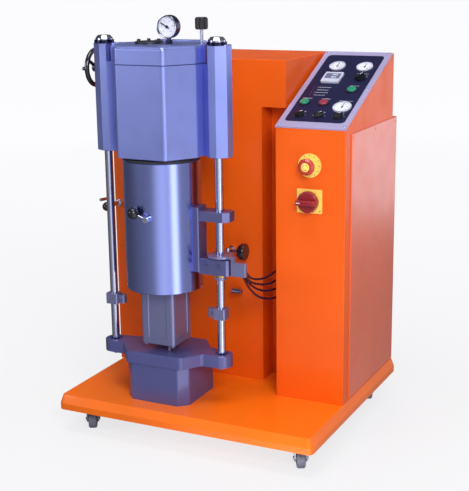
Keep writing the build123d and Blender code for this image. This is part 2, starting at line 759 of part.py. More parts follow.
def head_half_outline(back_y):
    return [(PROW_HALF, HEAD_FRONT_Y), (PROW_SHOULDER, PROW_SHOULDER_Y),
            (PROW_SHOULDER, NOTCH_Y), (EAR_INNER, EAR_FRONT_Y), (EAR_OUTER, EAR_FRONT_Y),
            (EAR_CORNER, EAR_CORNER_Y), (EAR_SIDE, EAR_SIDE_Y), (EAR_CORNER - 4.0, EAR_BACK_Y),
            (PROW_SHOULDER, EAR_BACK_Y - 2.0), (PROW_HALF, back_y)]


def prow_corners():
    places = []
    for side in (-1, 1):
        places.append((PRESS_X + side * PROW_HALF, HEAD_FRONT_Y))
        places.append((PRESS_X + side * PROW_SHOULDER, PROW_SHOULDER_Y))
    return places


def ear_corners():
    places = []
    for side in (-1, 1):
        for x, y in ((EAR_INNER, EAR_FRONT_Y), (EAR_OUTER, EAR_FRONT_Y),
                     (EAR_CORNER, EAR_CORNER_Y), (EAR_SIDE, EAR_SIDE_Y),
                     (EAR_CORNER - 4.0, EAR_BACK_Y)):
            places.append((PRESS_X + side * x, y))
    return places


def column_holes(z0, z1, gap=FIXED_GAP):
    left = rod_z(ROD_RADIUS + gap, LEFT_X, PRESS_COLUMN_Y, z0, z1)
    return left + rod_z(ROD_RADIUS + gap, RIGHT_X, PRESS_COLUMN_Y, z0, z1)


def make_base_casting():
    """The flanged foot of the press, hollow underneath, with an ear for each column."""
    flange_z = BASE_TOP_Z - BASE_FLANGE_T
    half = [(PROW_HALF + 12.0, BASE_FRONT_Y - 4.0), (PROW_SHOULDER, PROW_SHOULDER_Y),
            (COLUMN_PITCH / 2, PRESS_COLUMN_Y - BASE_EAR_RADIUS),
            (COLUMN_PITCH / 2, PRESS_COLUMN_Y + BASE_EAR_RADIUS),
            (PROW_SHOULDER - 6.0, PRESS_COLUMN_Y + BASE_EAR_RADIUS + 4.0),
            (PROW_HALF + 6.0, BASE_BACK_Y)]
    flange = prism(mirrored(half), flange_z, BASE_TOP_Z)
    for x in (LEFT_X, RIGHT_X):
        flange += rod_z(BASE_EAR_RADIUS, x, PRESS_COLUMN_Y, flange_z, BASE_TOP_Z)
    corners = [(PRESS_X + s * (PROW_HALF + 12.0), BASE_FRONT_Y - 4.0) for s in (-1, 1)]
    corners += [(PRESS_X + s * PROW_SHOULDER, PROW_SHOULDER_Y) for s in (-1, 1)]
    flange = fillet(upright_edges(flange, corners), PROW_ROUND)
    flange = chamfer(flange.faces().sort_by(Axis.Z)[-1].edges(), 1.2)
    foot = block(PRESS_X - BASE_HALF_WIDTH, PRESS_X + BASE_HALF_WIDTH, BASE_FRONT_Y,
                 BASE_BACK_Y, DECK_TOP_Z, flange_z + 1.0)
    foot = chamfer(foot.edges().filter_by(Axis.Z).sort_by(Axis.Y)[0:2], BASE_CORNER)
    foot = fillet(foot.edges().filter_by(Axis.Z), 5.0)
    pocket = block(PRESS_X - BASE_HALF_WIDTH + BASE_WALL, PRESS_X + BASE_HALF_WIDTH - BASE_WALL,
                   BASE_FRONT_Y + BASE_CORNER, BASE_BACK_Y - BASE_WALL,
                   DECK_TOP_Z - 1.0, flange_z)
    casting = flange + foot - pocket - column_holes(flange_z - 1.0, BASE_TOP_Z + 1.0)
    for x in (LEFT_X, RIGHT_X):
        casting -= rod_z(BASE_RECESS_RADIUS, x, PRESS_COLUMN_Y,
                         BASE_TOP_Z - BASE_RECESS_DEPTH, BASE_TOP_Z + 1.0)
    return casting


def make_guide_columns():
    """The two ground and chromed columns, stepped at the foot for their bolts."""
    low = BASE_TOP_Z - BASE_FLANGE_T + 6.0
    pieces = []
    for x in (LEFT_X, RIGHT_X):
        rod = rod_z(ROD_RADIUS, x, PRESS_COLUMN_Y, low, HEAD_TOP_Z + CAP_NUT_HEIGHT - 6.0)
        rod = chamfer(rod.edges(), 1.0)
        tapped = rod_z(5.0, x, PRESS_COLUMN_Y, low - 1.0, low + 22.0)
        pieces.append(rod - tapped)
    return pieces


def make_column_nuts():
    """A domed cap nut on top of each column and a hexagon bolt under each ear."""
    pieces = []
    top = HEAD_TOP_Z
    flange_z = BASE_TOP_Z - BASE_FLANGE_T
    for x in (LEFT_X, RIGHT_X):
        cap = turned([(0, 0), (CAP_NUT_RADIUS, 0), (CAP_NUT_RADIUS, 7.0),
                      (CAP_NUT_RADIUS - 3.0, 7.0), (CAP_NUT_RADIUS - 3.0, 11.0),
                      (CAP_NUT_RADIUS - 9.0, CAP_NUT_HEIGHT), (0, CAP_NUT_HEIGHT)],
                     x, PRESS_COLUMN_Y, top)
        socket = rod_z(ROD_RADIUS + FIXED_GAP, x, PRESS_COLUMN_Y, top - 1.0,
                       top + CAP_NUT_HEIGHT - 5.0)
        pieces.append(cap - socket)
        washer = rod_z(14.0, x, PRESS_COLUMN_Y, flange_z - 2.5, flange_z)
        head = Pos(x, PRESS_COLUMN_Y, flange_z - 9.5) * extrude(RegularPolygon(8.5, 6), 7.0)
        shank = rod_z(5.0 - FIXED_GAP, x, PRESS_COLUMN_Y, flange_z - 3.0, flange_z + 26.0)
        pieces.append(washer + head + shank)
    return pieces


def make_melting_chamber_body():
    """The head casting: a prow with a V-notched ear each side, bored for the crucible."""
    body = prism(mirrored(head_half_outline(HEAD_BACK_Y)), HEAD_BOTTOM_Z, BODY_TOP_Z)
    body = fillet(upright_edges(body, prow_corners()), PROW_ROUND)
    body = fillet(upright_edges(body, ear_corners()), 3.0)
    body = chamfer(body.faces().sort_by(Axis.Z)[0].edges(), 1.0)
    # clamp jaws behind the left ear
    jaw_low = HANDWHEEL_Z - JAW_DROP
    body += block(PRESS_X - EAR_CORNER + 4.0, PRESS_X - PROW_SHOULDER + 22.0,
                  EAR_BACK_Y - 6.0, HANDWHEEL_Y + JAW_DEPTH, jaw_low, BODY_TOP_Z)
    body -= block(LEFT_X - CLAMP_SLIT / 2, LEFT_X + CLAMP_SLIT / 2, PRESS_COLUMN_Y,
                  HANDWHEEL_Y + JAW_DEPTH + 1.0, HEAD_BOTTOM_Z - 1.0, BODY_TOP_Z + 1.0)
    body -= rod_x(HANDWHEEL_HUB_RADIUS + 4.0, handwheel_x(), jaw_face_x(), HANDWHEEL_Y,
                  HANDWHEEL_Z)
    body -= rod_x(SPINDLE_RADIUS + RUNNING_GAP, jaw_face_x() - 1.0,
                  jaw_face_x() + SPINDLE_LENGTH - 14.0, HANDWHEEL_Y, HANDWHEEL_Z)
    body -= rod_z(MELT_BORE_RADIUS, PRESS_X, CHAMBER_Y, HEAD_BOTTOM_Z + MELT_FLOOR_T,
                  BODY_TOP_Z + 1.0)
    body -= rod_z(POUR_BORE_RADIUS, PRESS_X, CHAMBER_Y, HEAD_BOTTOM_Z - 1.0,
                  HEAD_BOTTOM_Z + MELT_FLOOR_T + 1.0)
    body -= column_holes(HEAD_BOTTOM_Z - 1.0, BODY_TOP_Z + 1.0)
    # slot and bore for the stopper's guide pin in the back wall
    pin_y = CHAMBER_Y + STOPPER_PIN_OUT
    arm_z = stopper_arm_z()
    half = STOPPER_ARM_WIDTH / 2 + 1.0
    body -= block(PRESS_X - half, PRESS_X + half, CHAMBER_Y, pin_y, arm_z - 1.0,
                  BODY_TOP_Z + 1.0)
    body -= rod_z(half, PRESS_X, pin_y, arm_z - 1.0, BODY_TOP_Z + 1.0)
    body -= rod_z(STOPPER_PIN_RADIUS + RUNNING_GAP, PRESS_X, pin_y,
                  arm_z - STOPPER_PIN_LENGTH - 2.0, arm_z)
    return body


def make_end_blocks():
    """The clamp blocks above each ear, level with the lid, and the lid's guide dowels."""
    pieces = []
    outline = head_half_outline(HEAD_BACK_Y)
    for side in (-1, 1):
        ends = [(END_BLOCK_HALF, EAR_FRONT_Y)] + outline[4:8] + [(END_BLOCK_HALF, EAR_BACK_Y)]
        points = [(PRESS_X + side * x, y) for x, y in ends]
        if side < 0:
            points.reverse()
        ear = prism(points, BODY_TOP_Z, HEAD_TOP_Z)
        ear = fillet(upright_edges(ear, ear_corners()), 3.0)
        ear = chamfer(ear.faces().sort_by(Axis.Z)[-1].edges(), 1.5)
        pieces.append(ear - column_holes(BODY_TOP_Z - 1.0, HEAD_TOP_Z + 1.0))
        dowel_x = PRESS_X + side * (LID_EDGE_HALF + END_BLOCK_HALF) / 2
        dowel = rod_z(3.5, dowel_x, EAR_FRONT_Y + 18.0, BODY_TOP_Z, HEAD_TOP_Z - 6.0)
        pieces.append(chamfer(dowel.edges().sort_by(Axis.Z)[-1], 1.0))
    return pieces


def make_lid_hinge():
    """A two-eyed hinge bracket on the back of the head, with its pin."""
    back = HEAD_BACK_Y
    low = HINGE_Z - HINGE_LEG_DROP
    knee = BODY_TOP_Z - 2.0
    leg_front = HINGE_Y - HINGE_EYE_RADIUS
    leg_back = HINGE_Y + HINGE_EYE_RADIUS
    profile = [(back, low), (back + HINGE_FOOT_T, low), (leg_back, knee - 24.0),
               (leg_back, HINGE_Z), (leg_front, HINGE_Z), (leg_front, knee + 6.0),
               (back, knee)]
    bracket = block(PRESS_X - HINGE_HALF, PRESS_X + HINGE_HALF, back, back + HINGE_FOOT_T,
                    low, low + 26.0)
    for side in (-1, 1):
        inner = PRESS_X + side * (HINGE_KNUCKLE_HALF + HINGE_SIDE_GAP)
        outer = PRESS_X + side * HINGE_HALF
        x0 = min(inner, outer)
        x1 = max(inner, outer)
        bracket += side_prism(profile, x0, x1)
        bracket += rod_x(HINGE_EYE_RADIUS, x0, x1, HINGE_Y, HINGE_Z)
    bracket -= rod_x(HINGE_PIN_RADIUS + FIXED_GAP, PRESS_X - HINGE_HALF - 1.0,
                     PRESS_X + HINGE_HALF + 1.0, HINGE_Y, HINGE_Z)
    pin = rod_x(HINGE_PIN_RADIUS, PRESS_X - HINGE_HALF - 8.0, PRESS_X + HINGE_HALF + 8.0,
                HINGE_Y, HINGE_Z)
    for side in (-1, 1):
        end = PRESS_X + side * (HINGE_HALF + 8.0)
        pin += rod_x(HINGE_PIN_RADIUS + 2.5, end, end - side * 6.0, HINGE_Y, HINGE_Z)
    return [bracket, pin]


def make_coil_duct():
    """The sheet duct that carries the coil's power leads from the cabinet to the head."""
    half = 34.0
    low = 770.0
    high = 850.0
    outer = block(PRESS_X - half, PRESS_X + half, HEAD_BACK_Y, CABINET_FRONT, low, high)
    inner = block(PRESS_X - half + SHEET, PRESS_X + half - SHEET, HEAD_BACK_Y + SHEET,
                  CABINET_FRONT - SHEET, low + SHEET, high - SHEET)
    rim = block(PRESS_X - half - 8.0, PRESS_X + half + 8.0, CABINET_FRONT - SHEET,
                CABINET_FRONT, low - 8.0, high + 8.0)
    return outer + rim - inner


# ---------------------------------------------------------------- press: melting parts
def crucible_z():
    return HEAD_BOTTOM_Z + MELT_FLOOR_T + CRUCIBLE_STAND


def stopper_arm_z():
    return crucible_z() + CRUCIBLE_HEIGHT + 22.0


def make_crucible():
    """A graphite crucible with a tapped pour hole, on a ceramic stand ring."""
    z = crucible_z()
    inner = CRUCIBLE_RADIUS - CRUCIBLE_WALL
    pot = turned([(POUR_HOLE_RADIUS, 0), (CRUCIBLE_RADIUS, 0),
                  (CRUCIBLE_RADIUS, CRUCIBLE_HEIGHT), (inner, CRUCIBLE_HEIGHT),
                  (inner, CRUCIBLE_WALL + 8.0), (POUR_HOLE_RADIUS + 4.0, CRUCIBLE_WALL),
                  (POUR_HOLE_RADIUS, CRUCIBLE_WALL - 4.0)], PRESS_X, CHAMBER_Y, z)
    stand = turned([(CRUCIBLE_RADIUS - 14.0, 0), (MELT_BORE_RADIUS - 1.0, 0),
                    (MELT_BORE_RADIUS - 1.0, CRUCIBLE_STAND), (CRUCIBLE_RADIUS - 14.0,
                                                               CRUCIBLE_STAND)],
                   PRESS_X, CHAMBER_Y, HEAD_BOTTOM_Z + MELT_FLOOR_T)
    return solids_of(pot, stand)


def coil_gap(path):
    """The least gap between neighbouring turns, measured on points of the path."""
    steps = COIL_TURNS * COIL_SAMPLES
    points = [path @ (i / steps) for i in range(steps + 1)]
    apart = [(after - before).length for before, after in zip(points, points[COIL_SAMPLES:])]
    return min(apart) - COIL_TUBE_SIDE


def make_induction_coil():
    """A water-cooled coil: one unbroken square copper tube wound round the crucible."""
    low = crucible_z() + COIL_START - CRUCIBLE_STAND
    height = COIL_TURNS * COIL_PITCH
    path = Helix(COIL_PITCH, height, COIL_RADIUS)
    section = Plane(origin=path @ 0, x_dir=(1, 0, 0), z_dir=path % 0) * Rectangle(
        COIL_TUBE_SIDE, COIL_TUBE_SIDE)
    coil = sweep(section, path=path, is_frenet=True)
    print("coil gap between turns: %.2f mm" % coil_gap(path))
    return Pos(PRESS_X, CHAMBER_Y, low) * coil


def make_stopper_rod():
    """The stopper in the pour hole, hung from an arm on a guide pin in the back wall."""
    seat_z = crucible_z() + CRUCIBLE_WALL - 4.0 + 1.2
    arm_z = stopper_arm_z()
    arm_top = arm_z + STOPPER_ARM_T
    pin_y = CHAMBER_Y + STOPPER_PIN_OUT
    rod = turned([(0, 0), (STOPPER_TIP, 0), (STOPPER_RADIUS, 6.0),
                  (STOPPER_RADIUS, arm_top + 4.0 - seat_z), (0, arm_top + 4.0 - seat_z)],
                 PRESS_X, CHAMBER_Y, seat_z)
    half = STOPPER_ARM_WIDTH / 2
    arm = block(PRESS_X - half, PRESS_X + half, CHAMBER_Y, pin_y, arm_z, arm_top)
    arm += rod_z(half, PRESS_X, pin_y, arm_z, arm_top)
    arm += rod_z(half + 3.0, PRESS_X, CHAMBER_Y, arm_z, arm_top)
    arm -= rod_z(STOPPER_RADIUS + FIXED_GAP, PRESS_X, CHAMBER_Y, arm_z - 1.0, arm_top + 1.0)
    arm += rod_z(STOPPER_PIN_RADIUS, PRESS_X, pin_y, arm_z - STOPPER_PIN_LENGTH, arm_z)
    return solids_of(rod, arm)


# ---------------------------------------------------------------- press: lid
def make_lid():
    """The lid: the prow's outline with a rolled top edge, hinged at the back."""
    back = HEAD_BACK_Y - 1.5
    half = [(PROW_HALF, HEAD_FRONT_Y), (PROW_SHOULDER, PROW_SHOULDER_Y),
            (PROW_SHOULDER, NOTCH_Y),
            (LID_EDGE_HALF, NOTCH_Y - (LID_EDGE_HALF - PROW_SHOULDER)
             * (NOTCH_Y - EAR_FRONT_Y) / (EAR_INNER - PROW_SHOULDER)),
            (LID_EDGE_HALF, EAR_BACK_Y), (PROW_SHOULDER, EAR_BACK_Y - 2.0),
            (PROW_HALF, back)]
    slab = prism(mirrored(half), LID_LOW_Z, HEAD_TOP_Z)
    slab = fillet(upright_edges(slab, prow_corners()), PROW_ROUND)
    front_limit = PROW_SHOULDER_Y + 4.0
    top_edges = [e for e in slab.faces().sort_by(Axis.Z)[-1].edges()
                 if e.center().Y < front_limit]
    slab = fillet(top_edges, LID_EDGE_ROUND)
    slab = chamfer(slab.faces().sort_by(Axis.Z)[0].edges(), 0.8)
    knuckle = rod_x(HINGE_EYE_RADIUS, PRESS_X - HINGE_KNUCKLE_HALF,
                    PRESS_X + HINGE_KNUCKLE_HALF, HINGE_Y, HINGE_Z)
    knuckle += block(PRESS_X - HINGE_KNUCKLE_HALF, PRESS_X + HINGE_KNUCKLE_HALF, back - 2.0,
                     HINGE_Y, HINGE_Z - HINGE_EYE_RADIUS, HINGE_Z + HINGE_DROP)
    lid = slab + knuckle
    lid -= rod_x(HINGE_PIN_RADIUS + RUNNING_GAP, PRESS_X - HINGE_KNUCKLE_HALF - 1.0,
                 PRESS_X + HINGE_KNUCKLE_HALF + 1.0, HINGE_Y, HINGE_Z)
    lid -= rod_z(SIGHT_GLASS_RADIUS - 3.0, SIGHT_X, SIGHT_Y, LID_LOW_Z - 1.0, HEAD_TOP_Z + 1.0)
    lid -= rod_z(VENT_ROD_RADIUS + RUNNING_GAP, VENT_X, VENT_Y, LID_LOW_Z + VENT_SEAT,
                 HEAD_TOP_Z + 1.0)
    lid -= rod_z(GAUGE_STEM_RADIUS + FIXED_GAP, GAUGE_X, GAUGE_Y, HEAD_TOP_Z - 12.0,
                 HEAD_TOP_Z + 1.0)
    return lid


def make_sight_frame():
    """The sight glass's screwed ring, with its cap screws."""
    top = HEAD_TOP_Z + SIGHT_HEIGHT
    ring = rod_z(SIGHT_RADIUS, SIGHT_X, SIGHT_Y, HEAD_TOP_Z, top)
    ring = chamfer(ring.edges().sort_by(Axis.Z)[-1], 1.0)
    ring -= rod_z(SIGHT_GLASS_RADIUS + FIXED_GAP, SIGHT_X, SIGHT_Y, HEAD_TOP_Z - 1.0,
                  HEAD_TOP_Z + SIGHT_GLASS_T + 0.2)
    ring -= rod_z(SIGHT_GLASS_RADIUS - 3.0, SIGHT_X, SIGHT_Y, HEAD_TOP_Z, top + 1.0)
    screw_circle = (SIGHT_GLASS_RADIUS + SIGHT_RADIUS) / 2 + 0.5
    pieces = [ring]
    for i in range(SIGHT_SCREWS):
        angle = 2 * math.pi * i / SIGHT_SCREWS
        x = SIGHT_X + screw_circle * math.cos(angle)
        y = SIGHT_Y + screw_circle * math.sin(angle)
        head = rod_z(SIGHT_SCREW_RADIUS, x, y, top, top + SIGHT_SCREW_HEIGHT)
        socket = Pos(x, y, top + 2.0) * extrude(RegularPolygon(2.3, 6), 4.0)
        pieces.append(head - socket)
    return solids_of(*pieces)


def make_sight_glass():
    return rod_z(SIGHT_GLASS_RADIUS, SIGHT_X, SIGHT_Y, HEAD_TOP_Z, HEAD_TOP_Z + SIGHT_GLASS_T)


def make_gauge_case():
    """A bottom-entry pressure gauge facing the operator, on a hexagon fitting."""
    front = GAUGE_Y - GAUGE_DEPTH / 2
    back = GAUGE_Y + GAUGE_DEPTH / 2
    case = rod_y(GAUGE_RADIUS, GAUGE_X, front, back, GAUGE_Z)
    case = fillet(case.edges().sort_by(Axis.Y)[-1], 4.0)
    case = fillet(case.edges().sort_by(Axis.Y)[0], 1.5)
    case -= rod_y(GAUGE_RADIUS - 3.0, GAUGE_X, front - 1.0, front + 4.0, GAUGE_Z)
    case += rod_y(1.5, GAUGE_X, front + 1.2, front + 5.0, GAUGE_Z)
    case += rod_z(GAUGE_STEM_RADIUS, GAUGE_X, GAUGE_Y, HEAD_TOP_Z - 11.0, GAUGE_Z - 10.0)
    case += Pos(GAUGE_X, GAUGE_Y, HEAD_TOP_Z) * extrude(
        RegularPolygon(GAUGE_HEX / math.sqrt(3.0), 6), GAUGE_HEX_HEIGHT)
    return case


def make_gauge_pointer():
    front = GAUGE_Y - GAUGE_DEPTH / 2
    y0 = front + 2.0
    hand = block(GAUGE_X - POINTER_WIDTH / 2, GAUGE_X + POINTER_WIDTH / 2, y0, y0 + POINTER_T,
                 GAUGE_Z - POINTER_TAIL, GAUGE_Z + POINTER_LENGTH)
    hub = rod_y(3.4, GAUGE_X, y0, y0 + 1.6, GAUGE_Z)
    bore = rod_y(1.5 + RUNNING_GAP, GAUGE_X, y0 - 1.0, y0 + 4.0, GAUGE_Z)
    tilt = Pos(GAUGE_X, 0, GAUGE_Z) * Rot(0, -60, 0) * Pos(-GAUGE_X, 0, -GAUGE_Z)
    return tilt * (hand + hub - bore)


def make_vent_plunger():
    """A lobed knob on a rod that lifts a vent disc off the lid."""
    low = VENT_KNOB_Z - VENT_KNOB_HEIGHT / 2
    knob = rod_z(VENT_KNOB_RADIUS - 2.5, VENT_X, VENT_Y, low, low + VENT_KNOB_HEIGHT)
    lobe_out = VENT_KNOB_RADIUS - 5.5
    for i in range(VENT_LOBES):
        angle = 2 * math.pi * i / VENT_LOBES
        knob += rod_z(5.5, VENT_X + lobe_out * math.cos(angle),
                      VENT_Y + lobe_out * math.sin(angle), low + 3.0,
                      low + VENT_KNOB_HEIGHT - 3.0)
    knob = fillet(knob.faces().sort_by(Axis.Z)[-1].edges(), 2.5)
    rod = rod_z(VENT_ROD_RADIUS, VENT_X, VENT_Y, LID_LOW_Z + VENT_SEAT + 1.0, low)
    return knob + rod


# ---------------------------------------------------------------- press: handwheel
def jaw_face_x():
    """The outer face of the clamp jaws."""
    return PRESS_X - EAR_CORNER + 4.0


def handwheel_x():
    return jaw_face_x() - HANDWHEEL_OFFSET


def make_handwheel():
    """A spoked handwheel with a short handle, on the clamp's spindle."""
    x = handwheel_x()
    y = HANDWHEEL_Y
    inside = HANDWHEEL_RADIUS - HANDWHEEL_GRIP
    ring = rod_x(HANDWHEEL_RADIUS + HANDWHEEL_GRIP, x - HANDWHEEL_GRIP, x + HANDWHEEL_GRIP, y,
                 HANDWHEEL_Z)
    ring -= rod_x(inside, x - 2 * HANDWHEEL_GRIP, x + 2 * HANDWHEEL_GRIP, y, HANDWHEEL_Z)
    ring = fillet(ring.edges().filter_by(GeomType.CIRCLE), HANDWHEEL_GRIP - 1.0)
    hub_end = jaw_face_x() - CLAMP_WASHER_T - 2 * CONTROL_GAP
    hub = rod_x(HANDWHEEL_HUB_RADIUS, x - 8.0, hub_end, y, HANDWHEEL_Z)
    wheel = ring + chamfer(hub.edges(), 1.5)
    for i in range(HANDWHEEL_SPOKES):
        angle = 360.0 * (i + 0.5) / HANDWHEEL_SPOKES
        spoke = rod_z(4.2, 0, 0, HANDWHEEL_HUB_RADIUS - 2.0, inside + 3.0)
        wheel += Pos(x, y, HANDWHEEL_Z) * Rot(angle, 0, 0) * spoke
    handle_end = x - HANDLE_LENGTH
    handle = rod_x(HANDLE_RADIUS, handle_end, x, y - HANDWHEEL_RADIUS, HANDWHEEL_Z)
    wheel += fillet(handle.edges().sort_by(Axis.X)[0], 2.0)
    wheel += rod_x(SPINDLE_RADIUS, x, jaw_face_x() + SPINDLE_LENGTH - 18.0, y, HANDWHEEL_Z)
    return wheel


def make_clamp_washer():
    """The brass washer between the handwheel's hub and the clamp's outer jaw."""
    face = jaw_face_x() - CONTROL_GAP
    washer = rod_x(HANDWHEEL_HUB_RADIUS + 2.0, face - CLAMP_WASHER_T, face, HANDWHEEL_Y,
                   HANDWHEEL_Z)
    washer = chamfer(washer.edges(), 0.6)
    return washer - rod_x(SPINDLE_RADIUS + RUNNING_GAP, face - CLAMP_WASHER_T - 1.0,
                          face + 1.0, HANDWHEEL_Y, HANDWHEEL_Z)


# ---------------------------------------------------------------- press: flask chamber
def make_flask_chamber():
    """A round chamber with a floor, a seal groove in its rim and two small lugs."""
    profile = [(PISTON_ROD_RADIUS + 4.0, FLASK_BOTTOM_Z), (FLASK_RADIUS - 1.5, FLASK_BOTTOM_Z),
               (FLASK_RADIUS, FLASK_BOTTOM_Z + 1.5), (FLASK_RADIUS, FLASK_TOP_Z - 1.0),
               (FLASK_RADIUS - 1.0, FLASK_TOP_Z), (FLASK_BORE_RADIUS, FLASK_TOP_Z),
               (FLASK_BORE_RADIUS, FLASK_BOTTOM_Z + FLASK_FLOOR_T),
               (PISTON_ROD_RADIUS + 4.0, FLASK_BOTTOM_Z + FLASK_FLOOR_T)]
    tube = turned(profile, PRESS_X, CHAMBER_Y)
    groove_mid = (FLASK_RADIUS + FLASK_BORE_RADIUS) / 2
    half = SEAL_WALL / 2 + FIXED_GAP
    groove = turned([(groove_mid - half, FLASK_TOP_Z - SEAL_DEPTH - FIXED_GAP),
                     (groove_mid + half, FLASK_TOP_Z - SEAL_DEPTH - FIXED_GAP),
                     (groove_mid + half, FLASK_TOP_Z + 1.0),
                     (groove_mid - half, FLASK_TOP_Z + 1.0)], PRESS_X, CHAMBER_Y)
    angle = math.radians(COCK_ANGLE)
    boss_r = COCK_BOSS_RADIUS
    boss_x = PRESS_X + FLASK_RADIUS * math.sin(angle)
    boss = rod_y(boss_r, boss_x, CHAMBER_Y - FLASK_RADIUS - COCK_BOSS_OUT,
                 CHAMBER_Y - FLASK_RADIUS + 4.0, COCK_Z)
    socket = rod_y(COCK_STEM_RADIUS + RUNNING_GAP, boss_x,
                   CHAMBER_Y - FLASK_RADIUS - COCK_BOSS_OUT - 1.0,
                   CHAMBER_Y - FLASK_RADIUS + 1.0, COCK_Z)
    return tube - groove + boss - socket


def make_chamber_seal():
    """The rubber ring in the chamber's rim."""
    middle = (FLASK_RADIUS + FLASK_BORE_RADIUS) / 2
    half = SEAL_WALL / 2
    low = FLASK_TOP_Z - SEAL_DEPTH
    high = FLASK_TOP_Z + SEAL_RISE
    return turned([(middle - half, low), (middle + half, low), (middle + half, high - 1.0),
                   (middle + half - 1.0, high), (middle - half + 1.0, high),
                   (middle - half, high - 1.0)], PRESS_X, CHAMBER_Y)


def lug_outline(chamfer_size, x0):
    x1 = RIGHT_X + LUG_REACH
    return [(x0, LUG_FRONT_Y), (x1 - chamfer_size, LUG_FRONT_Y),
            (x1, LUG_FRONT_Y + chamfer_size), (x1, LUG_BACK_Y - 8.0),
            (x1 - 8.0, LUG_BACK_Y), (x0, LUG_BACK_Y)]


def make_swing_arm():
    """The casting that joins the chamber to the right column: a saddle and two lugs."""
    saddle = block(PRESS_X + FLASK_RADIUS - 14.0, ARM_PAD_X, ARM_PAD_FRONT_Y, ARM_PAD_BACK_Y,
                   ARM_PAD_LOW_Z, ARM_PAD_HIGH_Z)
    saddle = fillet(saddle.edges().filter_by(Axis.Z).sort_by(Axis.X)[-2:], 4.0)
    upper = prism(lug_outline(LUG_CHAMFER, ARM_PAD_X - 2.0), UPPER_LUG_Z,
                  UPPER_LUG_Z + UPPER_LUG_T)
    lower = prism(lug_outline(LUG_LOW_CHAMFER, ARM_PAD_X - 2.0), LOWER_LUG_Z,
                  LOWER_LUG_Z + LOWER_LUG_T)
    upper = chamfer(upper.faces().sort_by(Axis.Z)[-1].edges(), 1.0)
    lower = chamfer(lower.faces().sort_by(Axis.Z)[-1].edges(), 1.0)
    arm = saddle + upper + lower
    arm -= rod_z(FLASK_RADIUS + FIXED_GAP, PRESS_X, CHAMBER_Y, LOWER_LUG_Z - 1.0,
                 ARM_PAD_HIGH_Z + 1.0)
    arm -= rod_z(ROD_RADIUS + RUNNING_GAP, RIGHT_X, PRESS_COLUMN_Y, UPPER_LUG_Z - 1.0,
                 UPPER_LUG_Z + UPPER_LUG_T + 1.0)
    arm -= rod_z(SLEEVE_RADIUS + RUNNING_GAP, RIGHT_X, PRESS_COLUMN_Y, LOWER_LUG_Z - 1.0,
                 LOWER_LUG_Z + LOWER_LUG_T + 1.0)
    for x, rise in ((28.0, 26.0), (62.0, 22.0)):
        screw = rod_y(5.8, x, LUG_FRONT_Y - 6.0, LUG_FRONT_Y, LOWER_LUG_Z + rise)
        socket = Pos(x, LUG_FRONT_Y - 6.5, LOWER_LUG_Z + rise) * Rot(90, 0, 0) * extrude(
            RegularPolygon(3.2, 6), -4.0)
        arm += screw - socket
    return arm


def bracket_low_z():
    """The underside of the fixed bracket: clear of the lower lug when it is lifted."""
    return LOWER_LUG_Z + LOWER_LUG_T + LIFT_CLEAR


def manifold_left():
    return RIGHT_X + LUG_REACH + MANIFOLD_CLEAR


def fitting_roots():
    """Where the four angled fittings leave the manifold's back, right pair first."""
    back = MANIFOLD_FRONT_Y + MANIFOLD_DEPTH
    right = manifold_left() + MANIFOLD_WIDTH - 7.0
    low = MANIFOLD_LOW_Z + 6.0
    return [(right - FITTING_PITCH * i, back, low + FITTING_PITCH * (1 - j))
            for i in range(2) for j in range(2)]


def hose_starts():
    """Where each hose leaves its fitting, which points down and back at 45 degrees."""
    step = FITTING_LENGTH / math.sqrt(2.0)
    return [(x, y + step, z - step) for x, y, z in fitting_roots()]


def make_manifold_bracket():
    """A clamped disc on the right column that carries the air manifold and its fittings."""
    x, y = RIGHT_X, PRESS_COLUMN_Y
    low = bracket_low_z()
    high = low + BRACKET_T
    x0 = manifold_left()
    y0 = MANIFOLD_FRONT_Y
    y1 = y0 + MANIFOLD_DEPTH
    disc = rod_z(BRACKET_RADIUS, x, y, low, high)
    disc += block(x, x0 + MANIFOLD_NECK, y0, y1, low, high)
    disc -= rod_z(ROD_RADIUS + FIXED_GAP, x, y, low - 1.0, high + 1.0)
    disc -= block(x - 1.0, x + 1.0, y, y + BRACKET_RADIUS + 1.0, low - 1.0, high + 1.0)
    body = block(x0, x0 + MANIFOLD_WIDTH, y0, y1, MANIFOLD_LOW_Z,
                 MANIFOLD_LOW_Z + MANIFOLD_HEIGHT)
    body = chamfer(body.edges().filter_by(Axis.Z), 1.2)
    body += block(x0, x0 + MANIFOLD_NECK, y0 + 2.0, y1 - 2.0,
                  MANIFOLD_LOW_Z + MANIFOLD_HEIGHT - 4.0, low)
    pieces = [disc, body]
    for root, end in zip(fitting_roots(), hose_starts()):
        heading = Vector(*end) - Vector(*root)
        stem = Plane(origin=Vector(*root), z_dir=heading) * Cylinder(
            HOSE_RADIUS + 1.2, heading.length, align=(Align.CENTER, Align.CENTER, Align.MIN))
        wedge = rod_y(HOSE_RADIUS + 1.2, root[0], root[1], root[1] + 4.0, root[2])
        nose = stem + wedge
        nose -= block(root[0] - 9.0, root[0] + 9.0, root[1] - 9.0, root[1], root[2] - 9.0,
                      root[2] + 9.0)
        pieces.append(nose)
    return solids_of(*pieces)


def make_lift_bush():
    """The flanged bush that slides on the right column and carries the swing arm."""
    x, y = RIGHT_X, PRESS_COLUMN_Y
    foot = LOWER_LUG_Z - CONTROL_GAP
    bush = rod_z(SLEEVE_RADIUS, x, y, foot - SLEEVE_FOOT_T, LOWER_LUG_Z + LOWER_LUG_T)
    bush += rod_z(SLEEVE_RADIUS + 3.5, x, y, foot - SLEEVE_FOOT_T, foot)
    return bush - rod_z(ROD_RADIUS + RUNNING_GAP, x, y, foot - SLEEVE_FOOT_T - 1.0,
                        LOWER_LUG_Z + LOWER_LUG_T + 1.0)


